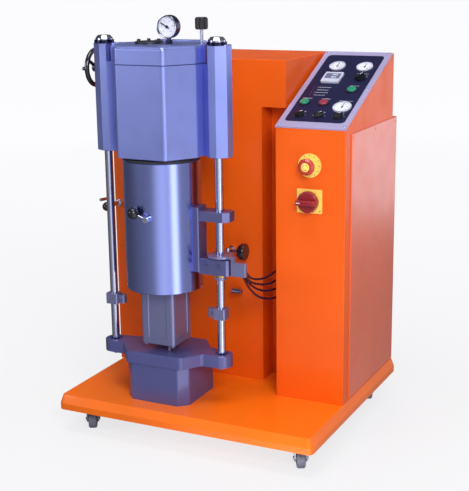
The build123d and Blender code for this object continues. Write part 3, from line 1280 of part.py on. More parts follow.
def make_lift_cylinder():
    """A square profiled cylinder under the chamber: barrel, end caps and tie-rod heads."""
    half = CYLINDER_SIDE / 2
    low = CYLINDER_BOTTOM_Z + CYLINDER_CAP_T
    high = CYLINDER_TOP_Z - CYLINDER_CAP_T
    outline = RectangleRounded(CYLINDER_SIDE, CYLINDER_SIDE, CYLINDER_CORNER)
    flute_w = CYLINDER_SIDE - 2 * CYLINDER_POST
    for i in range(4):
        outline -= Rot(0, 0, 90 * i) * Pos(half, 0) * RectangleRounded(
            2 * CYLINDER_FLUTE, flute_w, CYLINDER_FLUTE - 0.1)
    barrel = Pos(PRESS_X, CHAMBER_Y, low) * extrude(outline, high - low)
    barrel -= rod_z(CYLINDER_BORE_RADIUS, PRESS_X, CHAMBER_Y, low - 1.0, high + 1.0)
    cap_plan = RectangleRounded(CYLINDER_SIDE, CYLINDER_SIDE, CYLINDER_CORNER)
    bottom = Pos(PRESS_X, CHAMBER_Y, CYLINDER_BOTTOM_Z) * extrude(cap_plan, CYLINDER_CAP_T)
    bottom = chamfer(bottom.faces().sort_by(Axis.Z)[0].edges(), 1.5)
    top = Pos(PRESS_X, CHAMBER_Y, high) * extrude(cap_plan, CYLINDER_CAP_T)
    top -= rod_z(PISTON_ROD_RADIUS + RUNNING_GAP, PRESS_X, CHAMBER_Y, high - 1.0,
                 CYLINDER_TOP_Z + 1.0)
    reach = half - TIE_ROD_INSET
    for sx, sy in ((-1, -1), (-1, 1), (1, -1), (1, 1)):
        bottom += rod_z(TIE_ROD_RADIUS + 1.5, PRESS_X + sx * reach, CHAMBER_Y + sy * reach,
                        CYLINDER_BOTTOM_Z - 4.0, CYLINDER_BOTTOM_Z)
    drain_x = PRESS_X + 26.0
    drain_y = CHAMBER_Y - half + 12.0
    bottom += rod_z(3.0, drain_x, drain_y, BASE_TOP_Z + 2.0, CYLINDER_BOTTOM_Z)
    return solids_of(barrel, bottom, top)


def make_flask_table():
    """The table in the chamber, on the lift cylinder's rod and piston."""
    floor = FLASK_BOTTOM_Z + FLASK_FLOOR_T
    piston_low = CYLINDER_BOTTOM_Z + CYLINDER_CAP_T + 1.0
    table = rod_z(TABLE_RADIUS, PRESS_X, CHAMBER_Y, floor + 1.0, floor + 1.0 + TABLE_T)
    table = chamfer(table.edges().sort_by(Axis.Z)[-1], 1.5)
    table += rod_z(PISTON_ROD_RADIUS, PRESS_X, CHAMBER_Y, piston_low, floor + 2.0)
    table += rod_z(CYLINDER_BORE_RADIUS - RUNNING_GAP, PRESS_X, CHAMBER_Y, piston_low,
                   piston_low + PISTON_T)
    for i in range(3):
        groove_r = TABLE_RADIUS - 12.0 - 14.0 * i
        table -= turned([(groove_r, floor + TABLE_T - 0.5), (groove_r + 3.0,
                                                              floor + TABLE_T - 0.5),
                         (groove_r + 3.0, floor + TABLE_T + 2.0),
                         (groove_r, floor + TABLE_T + 2.0)], PRESS_X, CHAMBER_Y)
    return table


def make_vent_cock():
    """A small lever with a ball knob that turns in a boss on the chamber's front."""
    angle = math.radians(COCK_ANGLE)
    x = PRESS_X + FLASK_RADIUS * math.sin(angle)
    face_y = CHAMBER_Y - FLASK_RADIUS - COCK_BOSS_OUT
    spindle = rod_y(COCK_STEM_RADIUS, x, face_y - 8.0, face_y + COCK_BOSS_OUT - 1.0, COCK_Z)
    hub = rod_y(COCK_BOSS_RADIUS - 1.0, x, face_y - 8.0, face_y - 0.4, COCK_Z)
    start = Vector(x, face_y - 4.0, COCK_Z)
    ball_at = Vector(x + COCK_REACH_X, face_y + COCK_REACH_Y, COCK_Z + COCK_REACH_Z)
    reach = ball_at - start
    stem = Plane(origin=start, z_dir=reach) * Cylinder(
        COCK_STEM_RADIUS, reach.length - 6.0, align=(Align.CENTER, Align.CENTER, Align.MIN))
    ball = Plane(origin=ball_at, z_dir=reach) * Sphere(COCK_BALL_RADIUS)
    return ball + stem + hub + spindle


# ---------------------------------------------------------------- collars on the columns
def clamp_collar(x, z, side):
    """A square split collar with a rounded clamp lug to one side and its screw."""
    y = PRESS_COLUMN_Y
    z1 = z + COLLAR_HEIGHT
    out = x + side * (COLLAR_HALF + COLLAR_LUG - 9.0)
    collar = block(x - COLLAR_HALF, x + COLLAR_HALF, y - COLLAR_HALF, y + COLLAR_HALF - 4.0,
                   z, z1)
    collar = chamfer(collar.edges().filter_by(Axis.Z), 2.0)
    collar += block(x, out, y - 9.0, y + 9.0, z + 3.0, z1 - 3.0)
    collar += rod_z(9.0, out, y, z + 3.0, z1 - 3.0)
    collar -= rod_z(ROD_RADIUS + FIXED_GAP, x, y, z - 1.0, z1 + 1.0)
    collar -= block(x, out + side * 10.0, y - 1.0, y + 1.0, z - 1.0, z1 + 1.0)
    screw_x = x + side * (COLLAR_HALF + 7.0)
    screw = rod_y(4.6, screw_x, y - 14.0, y - 9.0, (z + z1) / 2)
    socket = Pos(screw_x, y - 14.5, (z + z1) / 2) * Rot(90, 0, 0) * extrude(
        RegularPolygon(2.5, 6), -3.5)
    return collar + (screw - socket)


def make_column_collars():
    """The stop collars of both columns and the thrust collar under the lift bush."""
    left = clamp_collar(LEFT_X, LEFT_COLLAR_Z, 1)
    right = clamp_collar(RIGHT_X, RIGHT_COLLAR_Z, -1)
    top = LOWER_LUG_Z - SLEEVE_FOOT_T - 2 * CONTROL_GAP
    thrust = rod_z(SLEEVE_RADIUS + 1.0, RIGHT_X, PRESS_COLUMN_Y, top - THRUST_COLLAR_T, top)
    thrust = chamfer(thrust.edges(), 1.0)
    thrust -= rod_z(ROD_RADIUS + FIXED_GAP, RIGHT_X, PRESS_COLUMN_Y,
                    top - THRUST_COLLAR_T - 1.0, top + 1.0)
    return solids_of(left, right, thrust)


# ---------------------------------------------------------------- wall valve and union
def make_wall_fittings():
    """The pipework on the cabinet's front wall: an elbow valve, a union and a side cock."""
    x, y, z = VALVE_X, VALVE_Y, VALVE_Z
    radius = VALVE_PIPE_RADIUS
    body = rod_y(radius, x, y, CABINET_FRONT, z)
    body += rod_y(radius + 3.0, x, CABINET_FRONT - 4.0, CABINET_FRONT, z)
    body += rod_z(radius + 2.0, x, y, z - radius - 2.0, z + radius + 2.0)
    body += rod_x(radius, x, VALVE_KNOB_X - 8.0, y, z)
    body -= rod_x(2.5 + RUNNING_GAP, VALVE_KNOB_X - 26.0, VALVE_KNOB_X, y, z)
    union_y = CABINET_FRONT - 18.0
    union = rod_y(5.0, UNION_X, union_y + 2.0, CABINET_FRONT, UNION_Z)
    union += rod_x(8.0, UNION_X - 13.0, UNION_X + 13.0, union_y, UNION_Z)
    union -= rod_x(4.0, UNION_X - 14.0, UNION_X - 6.0, union_y, UNION_Z)
    union -= rod_x(4.0, UNION_X + 6.0, UNION_X + 14.0, union_y, UNION_Z)
    cx, cy, cz = SIDE_COCK_X, SIDE_COCK_Y, SIDE_COCK_Z
    cock = rod_y(6.0, cx, cy, CABINET_FRONT, cz)
    cock += rod_y(10.0, cx, CABINET_FRONT - 4.0, CABINET_FRONT, cz)
    riser_y = cy + 14.0
    top = cz + SIDE_SPIGOT_RISE
    cock += rod_z(5.0, cx, riser_y, cz, top)
    spigot = Plane(origin=(cx, riser_y + 3.0, top - 3.0), z_dir=(-0.1, -1.0, 0.06)) * Cylinder(
        4.0, SIDE_SPIGOT_LENGTH, align=(Align.CENTER, Align.CENTER, Align.MIN))
    cock += spigot
    cock -= rod_y(2.5 + RUNNING_GAP, cx, cy - 1.0, cy + 8.0, cz)
    return solids_of(body, union, cock)


def make_wall_valve_knob():
    """The valve's round knob with its collar and spindle."""
    x0 = VALVE_KNOB_X
    knob = rod_x(VALVE_KNOB_RADIUS, x0, x0 + VALVE_KNOB_T, VALVE_Y, VALVE_Z)
    knob = fillet(knob.edges(), 3.0)
    knob += rod_x(VALVE_KNOB_RADIUS - 5.0, x0 - 4.0, x0 + 2.0, VALVE_Y, VALVE_Z)
    knob += rod_x(2.5, VALVE_KNOB_X - 24.0, x0, VALVE_Y, VALVE_Z)
    return knob


def make_side_cock_knob():
    """The ball knob of the cock at the cabinet's left edge."""
    x, y, z = SIDE_COCK_X, SIDE_COCK_Y, SIDE_COCK_Z
    ball_y = y - SIDE_BALL_RADIUS + 1.0
    knob = Pos(x, ball_y, z) * Sphere(SIDE_BALL_RADIUS)
    knob -= block(x - 20.0, x + 20.0, y - CONTROL_GAP, y + 20.0, z - 20.0, z + 20.0)
    return knob + rod_y(2.5, x, ball_y, y + 7.0, z)


# ---------------------------------------------------------------- front controls
def make_safety_plates():
    """The round plate of the emergency stop and the square plate of the isolator."""
    y0 = COLUMN_FRONT
    disc = rod_y(STOP_PLATE_RADIUS, CONTROL_X, y0 - PLATE_T, y0, STOP_Z)
    disc += rod_y(STOP_HEAD_RADIUS - 5.0, CONTROL_X, y0 - 12.0, y0 - PLATE_T, STOP_Z)
    disc = chamfer(disc.edges().sort_by(Axis.Y)[0], 1.0)
    disc -= rod_y(7.0 + RUNNING_GAP, CONTROL_X, y0 - 20.0, y0 - 1.0, STOP_Z)
    plate = Pos(CONTROL_X, y0, ISOLATOR_Z) * Rot(90, 0, 0) * extrude(
        RectangleRounded(ISOLATOR_WIDTH, ISOLATOR_HEIGHT, 3.0), PLATE_T)
    plate += rod_y(ISOLATOR_KNOB_RADIUS - 4.0, CONTROL_X, y0 - 8.0, y0 - PLATE_T, ISOLATOR_Z)
    plate -= rod_y(8.0 + RUNNING_GAP, CONTROL_X, y0 - 20.0, y0 - 1.0, ISOLATOR_Z)
    return solids_of(disc, plate)


def make_stop_button():
    """The red mushroom head on its stem."""
    y0 = COLUMN_FRONT - 12.0 - STOP_PUSH - CONTROL_GAP
    head = turned([(0, 0), (STOP_HEAD_RADIUS - 3.0, 0), (STOP_HEAD_RADIUS, 3.0),
                   (STOP_HEAD_RADIUS, 9.0), (STOP_HEAD_RADIUS - 5.0, 14.0), (0, 15.0)], 0, 0)
    head = Pos(CONTROL_X, y0, STOP_Z) * Rot(90, 0, 0) * head
    stem = rod_y(7.0, CONTROL_X, y0 - 2.0, COLUMN_FRONT - 1.0 - STOP_PUSH - CONTROL_GAP,
                 STOP_Z)
    return head + stem


def make_isolator_knob():
    """The isolator's round knob with a raised grip bar across it."""
    y0 = COLUMN_FRONT - 8.0 - CONTROL_GAP
    disc = rod_y(ISOLATOR_KNOB_RADIUS, CONTROL_X, y0 - 12.0, y0, ISOLATOR_Z)
    disc = fillet(disc.edges().sort_by(Axis.Y)[0], 3.0)
    bar = block(CONTROL_X - ISOLATOR_KNOB_RADIUS + 2.0, CONTROL_X + ISOLATOR_KNOB_RADIUS - 2.0,
                y0 - 26.0, y0 - 10.0, ISOLATOR_Z - 6.0, ISOLATOR_Z + 6.0)
    bar = fillet(bar.edges().filter_by(Axis.Y), 4.0)
    bar = fillet(bar.faces().sort_by(Axis.Y)[0].edges(), 2.0)
    stem = rod_y(8.0, CONTROL_X, y0 - 2.0, COLUMN_FRONT - 1.0 - CONTROL_GAP, ISOLATOR_Z)
    return disc + bar + stem


# ---------------------------------------------------------------- services at the back
def make_rear_ports():
    """Threaded gas inlet, vacuum connection and two cooling-water barbs."""
    pieces = []
    y0 = CABINET_BACK
    gas_x = PORT_X
    hexagon = Pos(gas_x, y0, PORT_Z) * Rot(-90, 0, 0) * extrude(RegularPolygon(11.0, 6),
                                                                PORT_LENGTH)
    pieces.append(hexagon - rod_y(PORT_THREAD_RADIUS, gas_x, y0 + 1.0, y0 + PORT_LENGTH + 1.0,
                                  PORT_Z))
    vac_x = PORT_X + PORT_PITCH
    collar = rod_y(VACUUM_RADIUS + 7.0, vac_x, y0, y0 + 5.0, PORT_Z)
    collar += rod_y(VACUUM_RADIUS + 3.0, vac_x, y0, y0 + PORT_LENGTH, PORT_Z)
    pieces.append(collar - rod_y(VACUUM_RADIUS, vac_x, y0 + 1.0, y0 + PORT_LENGTH + 1.0,
                                 PORT_Z))
    for i in (2, 3):
        x = PORT_X + i * PORT_PITCH
        barb = rod_y(9.0, x, y0, y0 + 4.0, PORT_Z)
        barb += rod_y(5.0, x, y0, y0 + 16.0, PORT_Z)
        for step in (7.0, 11.0):
            cone = Pos(x, y0 + step + 2.0, PORT_Z) * Rot(-90, 0, 0) * Cone(6.5, 5.0, 4.0)
            barb += cone
        pieces.append(barb - rod_y(3.0, x, y0 + 1.0, y0 + 17.0, PORT_Z))
    return pieces


# where each hose passes on its way back to the link panel, top hose first
HOSE_ROUTES = [
    [(124.0, -135.0, 412.0), (132.0, -100.0, 404.0), (140.0, -62.0, 407.0),
     (146.0, -18.0, 417.0), (148.0, 20.0, 422.0)],
    [(124.0, -136.0, 402.0), (132.0, -100.0, 389.0), (141.0, -62.0, 385.0),
     (147.0, -18.0, 391.0), (148.0, 20.0, 395.0)],
    [(116.5, -138.0, 397.0), (126.0, -100.0, 373.0), (139.0, -62.0, 365.0),
     (146.0, -18.0, 366.0), (148.0, 20.0, 370.0)],
    [(115.0, -139.0, 386.0), (124.0, -102.0, 355.0), (138.0, -62.0, 343.0),
     (145.0, -18.0, 341.0), (148.0, 20.0, 344.0)],
]


def hose_ends():
    """Where each hose meets its gland in front of the link panel."""
    return [(route[-1][0], LINK_FRONT - GLAND_LENGTH, route[-1][2]) for route in HOSE_ROUTES]


def make_cable_glands():
    """The hose glands on the link panel and the bare supply gland at the back."""
    pieces = []
    for x, y, z in hose_ends():
        nut = Pos(x, LINK_FRONT, z) * Rot(90, 0, 0) * extrude(RegularPolygon(7.0, 6), 6.0)
        pieces.append(nut + rod_y(HOSE_RADIUS + 1.6, x, y, LINK_FRONT - 5.0, z))
    y0 = CABINET_BACK
    gland = Pos(COLUMN_MID_X, y0, PORT_Z) * Rot(-90, 0, 0) * extrude(RegularPolygon(13.0, 6),
                                                                     6.0)
    gland += rod_y(10.0, COLUMN_MID_X, y0 + 5.0, y0 + 16.0, PORT_Z)
    gland -= rod_y(6.0, COLUMN_MID_X, y0 + 2.0, y0 + 17.0, PORT_Z)
    pieces.append(gland)
    return pieces


def hose_route(index):
    """A hose's points from its angled fitting to its gland."""
    x, y, z = hose_starts()[index]
    step = 24.0 / math.sqrt(2.0)
    return [(x, y, z), (x, y + step, z - step)] + HOSE_ROUTES[index] + [hose_ends()[index]]


def tube_along(points, radius):
    """A tube along straight runs joined by tangent arcs; prints its arc radii."""
    radii = []
    for i in range(1, len(points) - 1):
        before = Vector(*points[i]) - Vector(*points[i - 1])
        after = Vector(*points[i + 1]) - Vector(*points[i])
        turn = math.radians(before.get_angle(after))
        radii.append(0.45 * min(before.length, after.length) / math.tan(turn / 2))
    print("hose radii:", [round(r, 1) for r in radii])
    path = FilletPolyline(*points, radius=radii)
    section = Plane(origin=path @ 0, z_dir=path % 0) * Circle(radius)
    tube = sweep(section, path=path)
    expected = math.pi * radius ** 2 * path.length
    print("hose volume ratio: %.4f" % (tube.volume / expected))
    return tube


def make_air_hoses():
    return solids_of(*[tube_along(hose_route(i), HOSE_RADIUS)
                       for i in range(len(HOSE_ROUTES))])


# ---------------------------------------------------------------- write every node
def write_all():
    write("deck", make_deck())
    write("underframe", make_underframe())
    for name, (x, y) in zip(CASTOR_NAMES, castor_places()):
        write("castor_fork_" + name, make_castor_fork(x, y))
        write("castor_wheel_" + name, make_castor_wheel(x, y))
    write("cabinet_shell", solids_of(make_cabinet_shell(), make_link_panel(),
                                     make_coil_duct()))
    write("cabinet_back_cover", make_cabinet_back_cover())
    write("column_shell", make_column_shell())
    write("column_side_cover", make_side_cover())
    write("panel_bezel", make_panel_bezel())
    write("panel_plate", make_panel_plate())
    write("panel_instruments", make_panel_instruments())
    write("switch_collars", make_switch_collars())
    for name, (x, along) in BUTTONS.items():
        write(name, make_button(x, along))
    for name, (x, along) in LEVERS.items():
        write(name, make_lever_switch(x, along))
    write("rotary_selector", make_selector())
    pointer_names = ["left_gauge_pointer", "right_gauge_pointer", "large_gauge_pointer"]
    for name, (x, along, radius) in zip(pointer_names, PANEL_GAUGES):
        write(name, make_pointer(x, along, radius))
    write("base_casting", make_base_casting())
    write("guide_columns", solids_of(*make_guide_columns(), *make_column_nuts()))
    write("melting_chamber_body", make_melting_chamber_body())
    write("head_end_blocks", solids_of(*make_end_blocks(), *make_lid_hinge()))
    write("crucible", make_crucible())
    write("induction_coil", make_induction_coil())
    write("stopper_rod", make_stopper_rod())
    write("chamber_lid", make_lid())
    write("sight_glass_frame", make_sight_frame())
    write("sight_glass", make_sight_glass())
    write("pressure_gauge", make_gauge_case())
    write("pressure_pointer", make_gauge_pointer())
    write("vent_plunger", make_vent_plunger())
    write("clamp_handwheel", make_handwheel())
    write("clamp_washer", make_clamp_washer())
    write("flask_chamber", make_flask_chamber())
    write("chamber_seal", make_chamber_seal())
    write("swing_arm", make_swing_arm())
    write("manifold_bracket", make_manifold_bracket())
    write("lift_bush", make_lift_bush())
    write("lift_cylinder", make_lift_cylinder())
    write("flask_table", make_flask_table())
    write("vent_cock", make_vent_cock())
    write("column_collars", make_column_collars())
    write("wall_fittings", make_wall_fittings())
    write("wall_valve_knob", make_wall_valve_knob())
    write("side_cock_knob", make_side_cock_knob())
    write("safety_plates", make_safety_plates())
    write("stop_button", make_stop_button())
    write("isolator_knob", make_isolator_knob())
    write("service_ports", solids_of(*make_rear_ports(), *make_cable_glands()))
    write("air_hoses", make_air_hoses())


write_all()
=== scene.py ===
import math
import random
import bmesh
import bpy
from mathutils import Matrix, Vector


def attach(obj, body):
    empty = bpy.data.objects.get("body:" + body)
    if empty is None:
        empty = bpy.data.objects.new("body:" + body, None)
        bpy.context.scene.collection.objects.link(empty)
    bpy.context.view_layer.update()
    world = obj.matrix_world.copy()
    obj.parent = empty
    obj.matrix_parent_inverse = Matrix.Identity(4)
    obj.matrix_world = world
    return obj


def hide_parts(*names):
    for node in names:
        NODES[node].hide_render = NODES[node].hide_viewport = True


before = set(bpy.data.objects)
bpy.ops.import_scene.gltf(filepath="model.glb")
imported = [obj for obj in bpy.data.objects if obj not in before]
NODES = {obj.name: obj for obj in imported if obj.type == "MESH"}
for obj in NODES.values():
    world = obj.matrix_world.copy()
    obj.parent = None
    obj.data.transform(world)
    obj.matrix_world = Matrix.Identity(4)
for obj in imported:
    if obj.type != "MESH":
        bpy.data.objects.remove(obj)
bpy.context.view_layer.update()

# ---------------------------------------------------------------- places, in metres
# the control column: its front, its panel's slope and its right side
COLUMN_FRONT = -0.0845
COLUMN_FRONT_TOP = 0.780
COLUMN_MID_X = 0.2505
COLUMN_RIGHT = 0.340
COLUMN_RIDGE_Y = 0.252
COLUMN_RIDGE_Z = 0.931
SLOPE = math.atan2(COLUMN_RIDGE_Z - COLUMN_FRONT_TOP, COLUMN_RIDGE_Y - COLUMN_FRONT)
SLOPE_LENGTH = math.hypot(COLUMN_RIDGE_Y - COLUMN_FRONT, COLUMN_RIDGE_Z - COLUMN_FRONT_TOP)
PANEL_T = 0.003

# the cabinet's back, and the press: its middle plane, its chamber's axis and its head
CABINET_BACK = 0.288
HEAD_TOP = 0.978
PRESS_X = -0.095
CHAMBER_Y = -0.184

# the panel's controls, as (x, distance up the slope); gauges end with their radius, and
# the controller with its side
PANEL_GAUGES = [(-0.033, 0.292, 0.0187), (0.040, 0.292, 0.0187), (0.047, 0.097, 0.0207)]
CONTROLLER = (-0.025, 0.231, 0.048)
SELECTOR = (0.047, 0.234)
LEVERS = [(-0.046, 0.053), (0.003, 0.053), (0.052, 0.053)]
BUTTONS = [("left_green_button", -0.055, 0.112), ("right_green_button", 0.044, 0.178),
           ("red_button", -0.006, 0.112)]

# how far the controls stand out of the column's slope
DIAL_RISE = 0.0041
BUTTON_TOP = 0.0085
LEVER_TOP = 0.01391
SELECTOR_TOP = 0.01591

# the gauge on the lid
GAUGE_CENTRE = Vector((-0.066, -0.197, 1.018))
GAUGE_DIAL_RADIUS = 0.0238
GAUGE_DIAL_DEPTH = 0.0039

# controls on the column's front, and how far they stand out of it
STOP_CENTRE = Vector((0.2505, COLUMN_FRONT, 0.693))
ISOLATOR_CENTRE = Vector((0.2505, COLUMN_FRONT, 0.607))
SAFETY_PLATE_T = 0.003
STOP_CAP_RISE = 0.0314
ISOLATOR_GRIP_RISE = 0.0344

# the ball knob on the chamber's front, and the foot of the vent plunger's knob
COCK_BALL = Vector((-0.1151, -0.2936, 0.589))
COCK_BALL_RADIUS = 0.0144
VENT_KNOB_LOW = 1.0105

# the hoses between the manifold and the link panel: each route is its outlet on the
# manifold as (x, z), then the points that it passes
HOSE_RADIUS = 0.0028
HOSE_STEP = 0.017
HOSE_START = 0.006364
HOSE_ROUTES = [
    [(0.1255, 0.449), (0.124, -0.135, 0.412), (0.132, -0.100, 0.404), (0.140, -0.062, 0.407),
     (0.146, -0.018, 0.417), (0.148, 0.020, 0.422)],
    [(0.1255, 0.439), (0.124, -0.136, 0.402), (0.132, -0.100, 0.389), (0.141, -0.062, 0.385),
     (0.147, -0.018, 0.391), (0.148, 0.020, 0.395)],
    [(0.1155, 0.449), (0.1165, -0.138, 0.397), (0.126, -0.100, 0.373), (0.139, -0.062, 0.365),
     (0.146, -0.018, 0.366), (0.148, 0.020, 0.370)],
    [(0.1155, 0.439), (0.115, -0.139, 0.386), (0.124, -0.102, 0.355), (0.138, -0.062, 0.343),
     (0.145, -0.018, 0.341), (0.148, 0.020, 0.344)],
]
MANIFOLD_BACK = -0.188
GLAND_FACE = 0.049


# ---------------------------------------------------------------- colours and materials
def linear(red, green, blue):
    """A colour given as the eye sees it, 0 to 255, as the shader wants it."""
    def channel(value):
        value = value / 255.0
        if value <= 0.04045:
            return value / 12.92
        return ((value + 0.055) / 1.055) ** 2.4
    return (channel(red), channel(green), channel(blue), 1.0)


def shade(colour, factor):
    return tuple(min(1.0, part * factor) for part in colour[:3]) + (1.0,)


class Surface:
    """A material whose nodes are made one after another."""

    def __init__(self, name):
        self.material = bpy.data.materials.new(name)
        self.material.use_nodes = True
        self.tree = self.material.node_tree
        self.shader = self.tree.nodes["Principled BSDF"]
        self.place = self.add("ShaderNodeTexCoord")

    def add(self, kind, **settings):
        node = self.tree.nodes.new(kind)
        for name, value in settings.items():
            setattr(node, name, value)
        return node

    def link(self, source, target):
        self.tree.links.new(source, target)

    def scaled(self, scale):
        """Object coordinates stretched by scale."""
        mapping = self.add("ShaderNodeMapping")
        mapping.inputs["Scale"].default_value = scale
        self.link(self.place.outputs["Object"], mapping.inputs["Vector"])
        return mapping.outputs["Vector"]

    def noise(self, scale, detail=3.0, stretch=(1.0, 1.0, 1.0)):
        node = self.add("ShaderNodeTexNoise")
        node.inputs["Scale"].default_value = scale
        node.inputs["Detail"].default_value = detail
        self.link(self.scaled(stretch), node.inputs["Vector"])
        return node.outputs["Fac"]

    def span(self, factor, low, high, from_low=0.35, from_high=0.65):
        node = self.add("ShaderNodeMapRange")
        node.inputs["From Min"].default_value = from_low
        node.inputs["From Max"].default_value = from_high
        node.inputs["To Min"].default_value = low
        node.inputs["To Max"].default_value = high
        self.link(factor, node.inputs["Value"])
        return node.outputs["Result"]

    def mix(self, factor, first, second):
        """A colour between two; each is a constant or a socket."""
        node = self.add("ShaderNodeMix", data_type="RGBA")
        self.link(factor, node.inputs["Factor"])
        for value, index in ((first, 6), (second, 7)):
            if isinstance(value, tuple):
                node.inputs[index].default_value = value
            else:
                self.link(value, node.inputs[index])
        return node.outputs[2]

    def bump(self, height, strength, distance):
        node = self.add("ShaderNodeBump")
        node.inputs["Strength"].default_value = strength
        node.inputs["Distance"].default_value = distance
        self.link(height, node.inputs["Height"])
        self.link(node.outputs["Normal"], self.shader.inputs["Normal"])

    def band(self, axis, low, high):
        """1 where the object coordinate lies between low and high, else 0."""
        split = self.add("ShaderNodeSeparateXYZ")
        self.link(self.place.outputs["Object"], split.inputs["Vector"])
        above = self.add("ShaderNodeMath", operation="GREATER_THAN")
        self.link(split.outputs[axis], above.inputs[0])
        above.inputs[1].default_value = low
        below = self.add("ShaderNodeMath", operation="LESS_THAN")
        self.link(split.outputs[axis], below.inputs[0])
        below.inputs[1].default_value = high
        both = self.add("ShaderNodeMath", operation="MULTIPLY")
        self.link(above.outputs[0], both.inputs[0])
        self.link(below.outputs[0], both.inputs[1])
        return both.outputs[0]

    def near(self, centre, radius):
        """1 within radius of a point, else 0."""
        apart = self.add("ShaderNodeVectorMath", operation="DISTANCE")
        self.link(self.place.outputs["Object"], apart.inputs[0])
        apart.inputs[1].default_value = centre
        inside = self.add("ShaderNodeMath", operation="LESS_THAN")
        self.link(apart.outputs["Value"], inside.inputs[0])
        inside.inputs[1].default_value = radius
        return inside.outputs[0]

    def set(self, name, value):
        if isinstance(value, (int, float, tuple)):
            self.shader.inputs[name].default_value = value
        else:
            self.link(value, self.shader.inputs[name])


def coated(name, colour, rough=0.3, coat=0.6, specular=0.5, mottle=0.05, peel=0.08,
           peel_scale=420.0, metallic=0.0, coat_rough=0.06):
    """Sprayed or stoved paint: slight mottle, smudges in the gloss, and orange peel."""
    surface = Surface(name)
    tone = surface.noise(5.0, 4.0)
    surface.set("Base Color", surface.mix(surface.span(tone, 0.0, 1.0),
                                          shade(colour, 1.0 - mottle),
                                          shade(colour, 1.0 + mottle)))
    smudge = surface.noise(17.0, 5.0)
    surface.set("Roughness", surface.span(smudge, rough - 0.05, rough + 0.08))
    surface.set("Coat Weight", coat)
    surface.set("Coat Roughness", coat_rough)
    surface.set("Specular IOR Level", specular)
    surface.set("Metallic", metallic)
    surface.bump(surface.noise(peel_scale, 2.0), peel, 0.0006)
    return surface.material


def metal(name, colour, rough=0.25, stretch=(1.0, 1.0, 1.0), grain=0.05, grain_scale=300.0,
          tone=0.08, metallic=1.0, wear=0.2):
    """Worked metal: tool marks along one direction and uneven polish."""
    surface = Surface(name)
    marks = surface.noise(grain_scale, 4.0, stretch)
    surface.set("Base Color", surface.mix(surface.span(marks, 0.0, 1.0),
                                          shade(colour, 1.0 - tone),
                                          shade(colour, 1.0 + tone)))
    surface.set("Metallic", metallic)
    surface.set("Roughness", surface.span(marks, rough * (1 - wear), rough * (1 + wear)))
    surface.bump(marks, grain, 0.0004)
    return surface.material


def moulded(name, colour, rough=0.35, specular=0.5, grain=0.12, grain_scale=900.0, coat=0.0):
    """Moulded plastic or rubber with a fine grain."""
    surface = Surface(name)
    tone = surface.noise(23.0, 3.0)
    surface.set("Base Color", surface.mix(surface.span(tone, 0.0, 1.0), shade(colour, 0.9),
                                          shade(colour, 1.1)))
    surface.set("Roughness", surface.span(tone, rough - 0.06, rough + 0.08))
    surface.set("Specular IOR Level", specular)
    surface.set("Coat Weight", coat)
    surface.bump(surface.noise(grain_scale, 2.0), grain, 0.0003)
    return surface.material


orange_paint = coated("orange_paint", linear(232, 91, 8), rough=0.42, coat=0.12,
                      specular=0.3, peel=0.04)
deck_paint = coated("deck_paint", linear(246, 112, 16), rough=0.36, coat=0.3, specular=0.3,
                    peel=0.04)
side_paint = coated("side_paint", linear(226, 88, 30), rough=0.34, coat=1.0, peel=0.02,
                    coat_rough=0.28)
head_enamel = coated("head_enamel", linear(136, 147, 218), rough=0.40, coat=0.2, mottle=0.04,
                     peel=0.05, peel_scale=260.0, metallic=0.75)
arm_enamel = coated("arm_enamel", linear(106, 108, 158), rough=0.36, coat=0.2, mottle=0.06,
                    peel=0.06, peel_scale=260.0, metallic=0.75)
base_enamel = coated("base_enamel", linear(84, 88, 146), rough=0.36, coat=0.4, mottle=0.06,
                     peel=0.08, peel_scale=240.0, metallic=0.3)
bezel_paint = coated("bezel_paint", linear(160, 152, 190), rough=0.45, coat=0.1, specular=0.3)
panel_paint = coated("panel_paint", linear(20, 20, 60), rough=0.5, coat=0.05, specular=0.25,
                     mottle=0.1)
frame_paint = coated("frame_paint", linear(52, 52, 58), rough=0.5, coat=0.1)

chamber_metal = metal("chamber_metal", linear(150, 162, 232), rough=0.23,
                      stretch=(1.0, 1.0, 30.0), grain=0.008, grain_scale=30.0, tone=0.02, wear=0.06)
machined = metal("machined", linear(128, 130, 172), rough=0.30, stretch=(1.0, 1.0, 9.0),
                 grain=0.004, grain_scale=60.0, tone=0.02, metallic=0.6, wear=0.05)
zinc = metal("zinc", linear(176, 180, 196), rough=0.32, grain=0.1, grain_scale=160.0)
brass = metal("brass", linear(196, 160, 92), rough=0.22, stretch=(1.0, 1.0, 14.0),
              grain_scale=60.0)
copper = metal("copper", linear(206, 126, 92), rough=0.2, stretch=(1.0, 1.0, 6.0))
gauge_case = metal("gauge_case", linear(72, 74, 102), rough=0.2, grain=0.01)
steel_bright = metal("steel_bright", linear(206, 210, 230), rough=0.12, grain_scale=120.0)

black_gloss = moulded("black_gloss", linear(22, 22, 30), rough=0.16, specular=0.6, grain=0.04,
                      coat=0.5)
black_satin = moulded("black_satin", linear(30, 30, 38), rough=0.42)
graphite = moulded("graphite", linear(58, 58, 62), rough=0.55, grain=0.3)
rubber = moulded("rubber", linear(34, 34, 44), rough=0.6, grain=0.25)
hose_plastic = moulded("hose_plastic", linear(24, 22, 44), rough=0.28, specular=0.6,
                       coat=0.3)
wheel_grey = moulded("wheel_grey", linear(120, 122, 140), rough=0.4)
dial_white = moulded("dial_white", linear(226, 228, 240), rough=0.45, grain=0.03)
ink_black = moulded("ink_black", linear(24, 24, 34), rough=0.5, grain=0.05)
ink_white = moulded("ink_white", linear(206, 210, 230), rough=0.5, grain=0.05)
green_lens = moulded("green_lens", linear(30, 140, 110), rough=0.2, coat=0.6, grain=0.03)
red_lens = moulded("red_lens", linear(150, 52, 76), rough=0.2, coat=0.6, grain=0.03)
stop_red = moulded("stop_red", linear(176, 52, 40), rough=0.26, coat=0.5, grain=0.04)
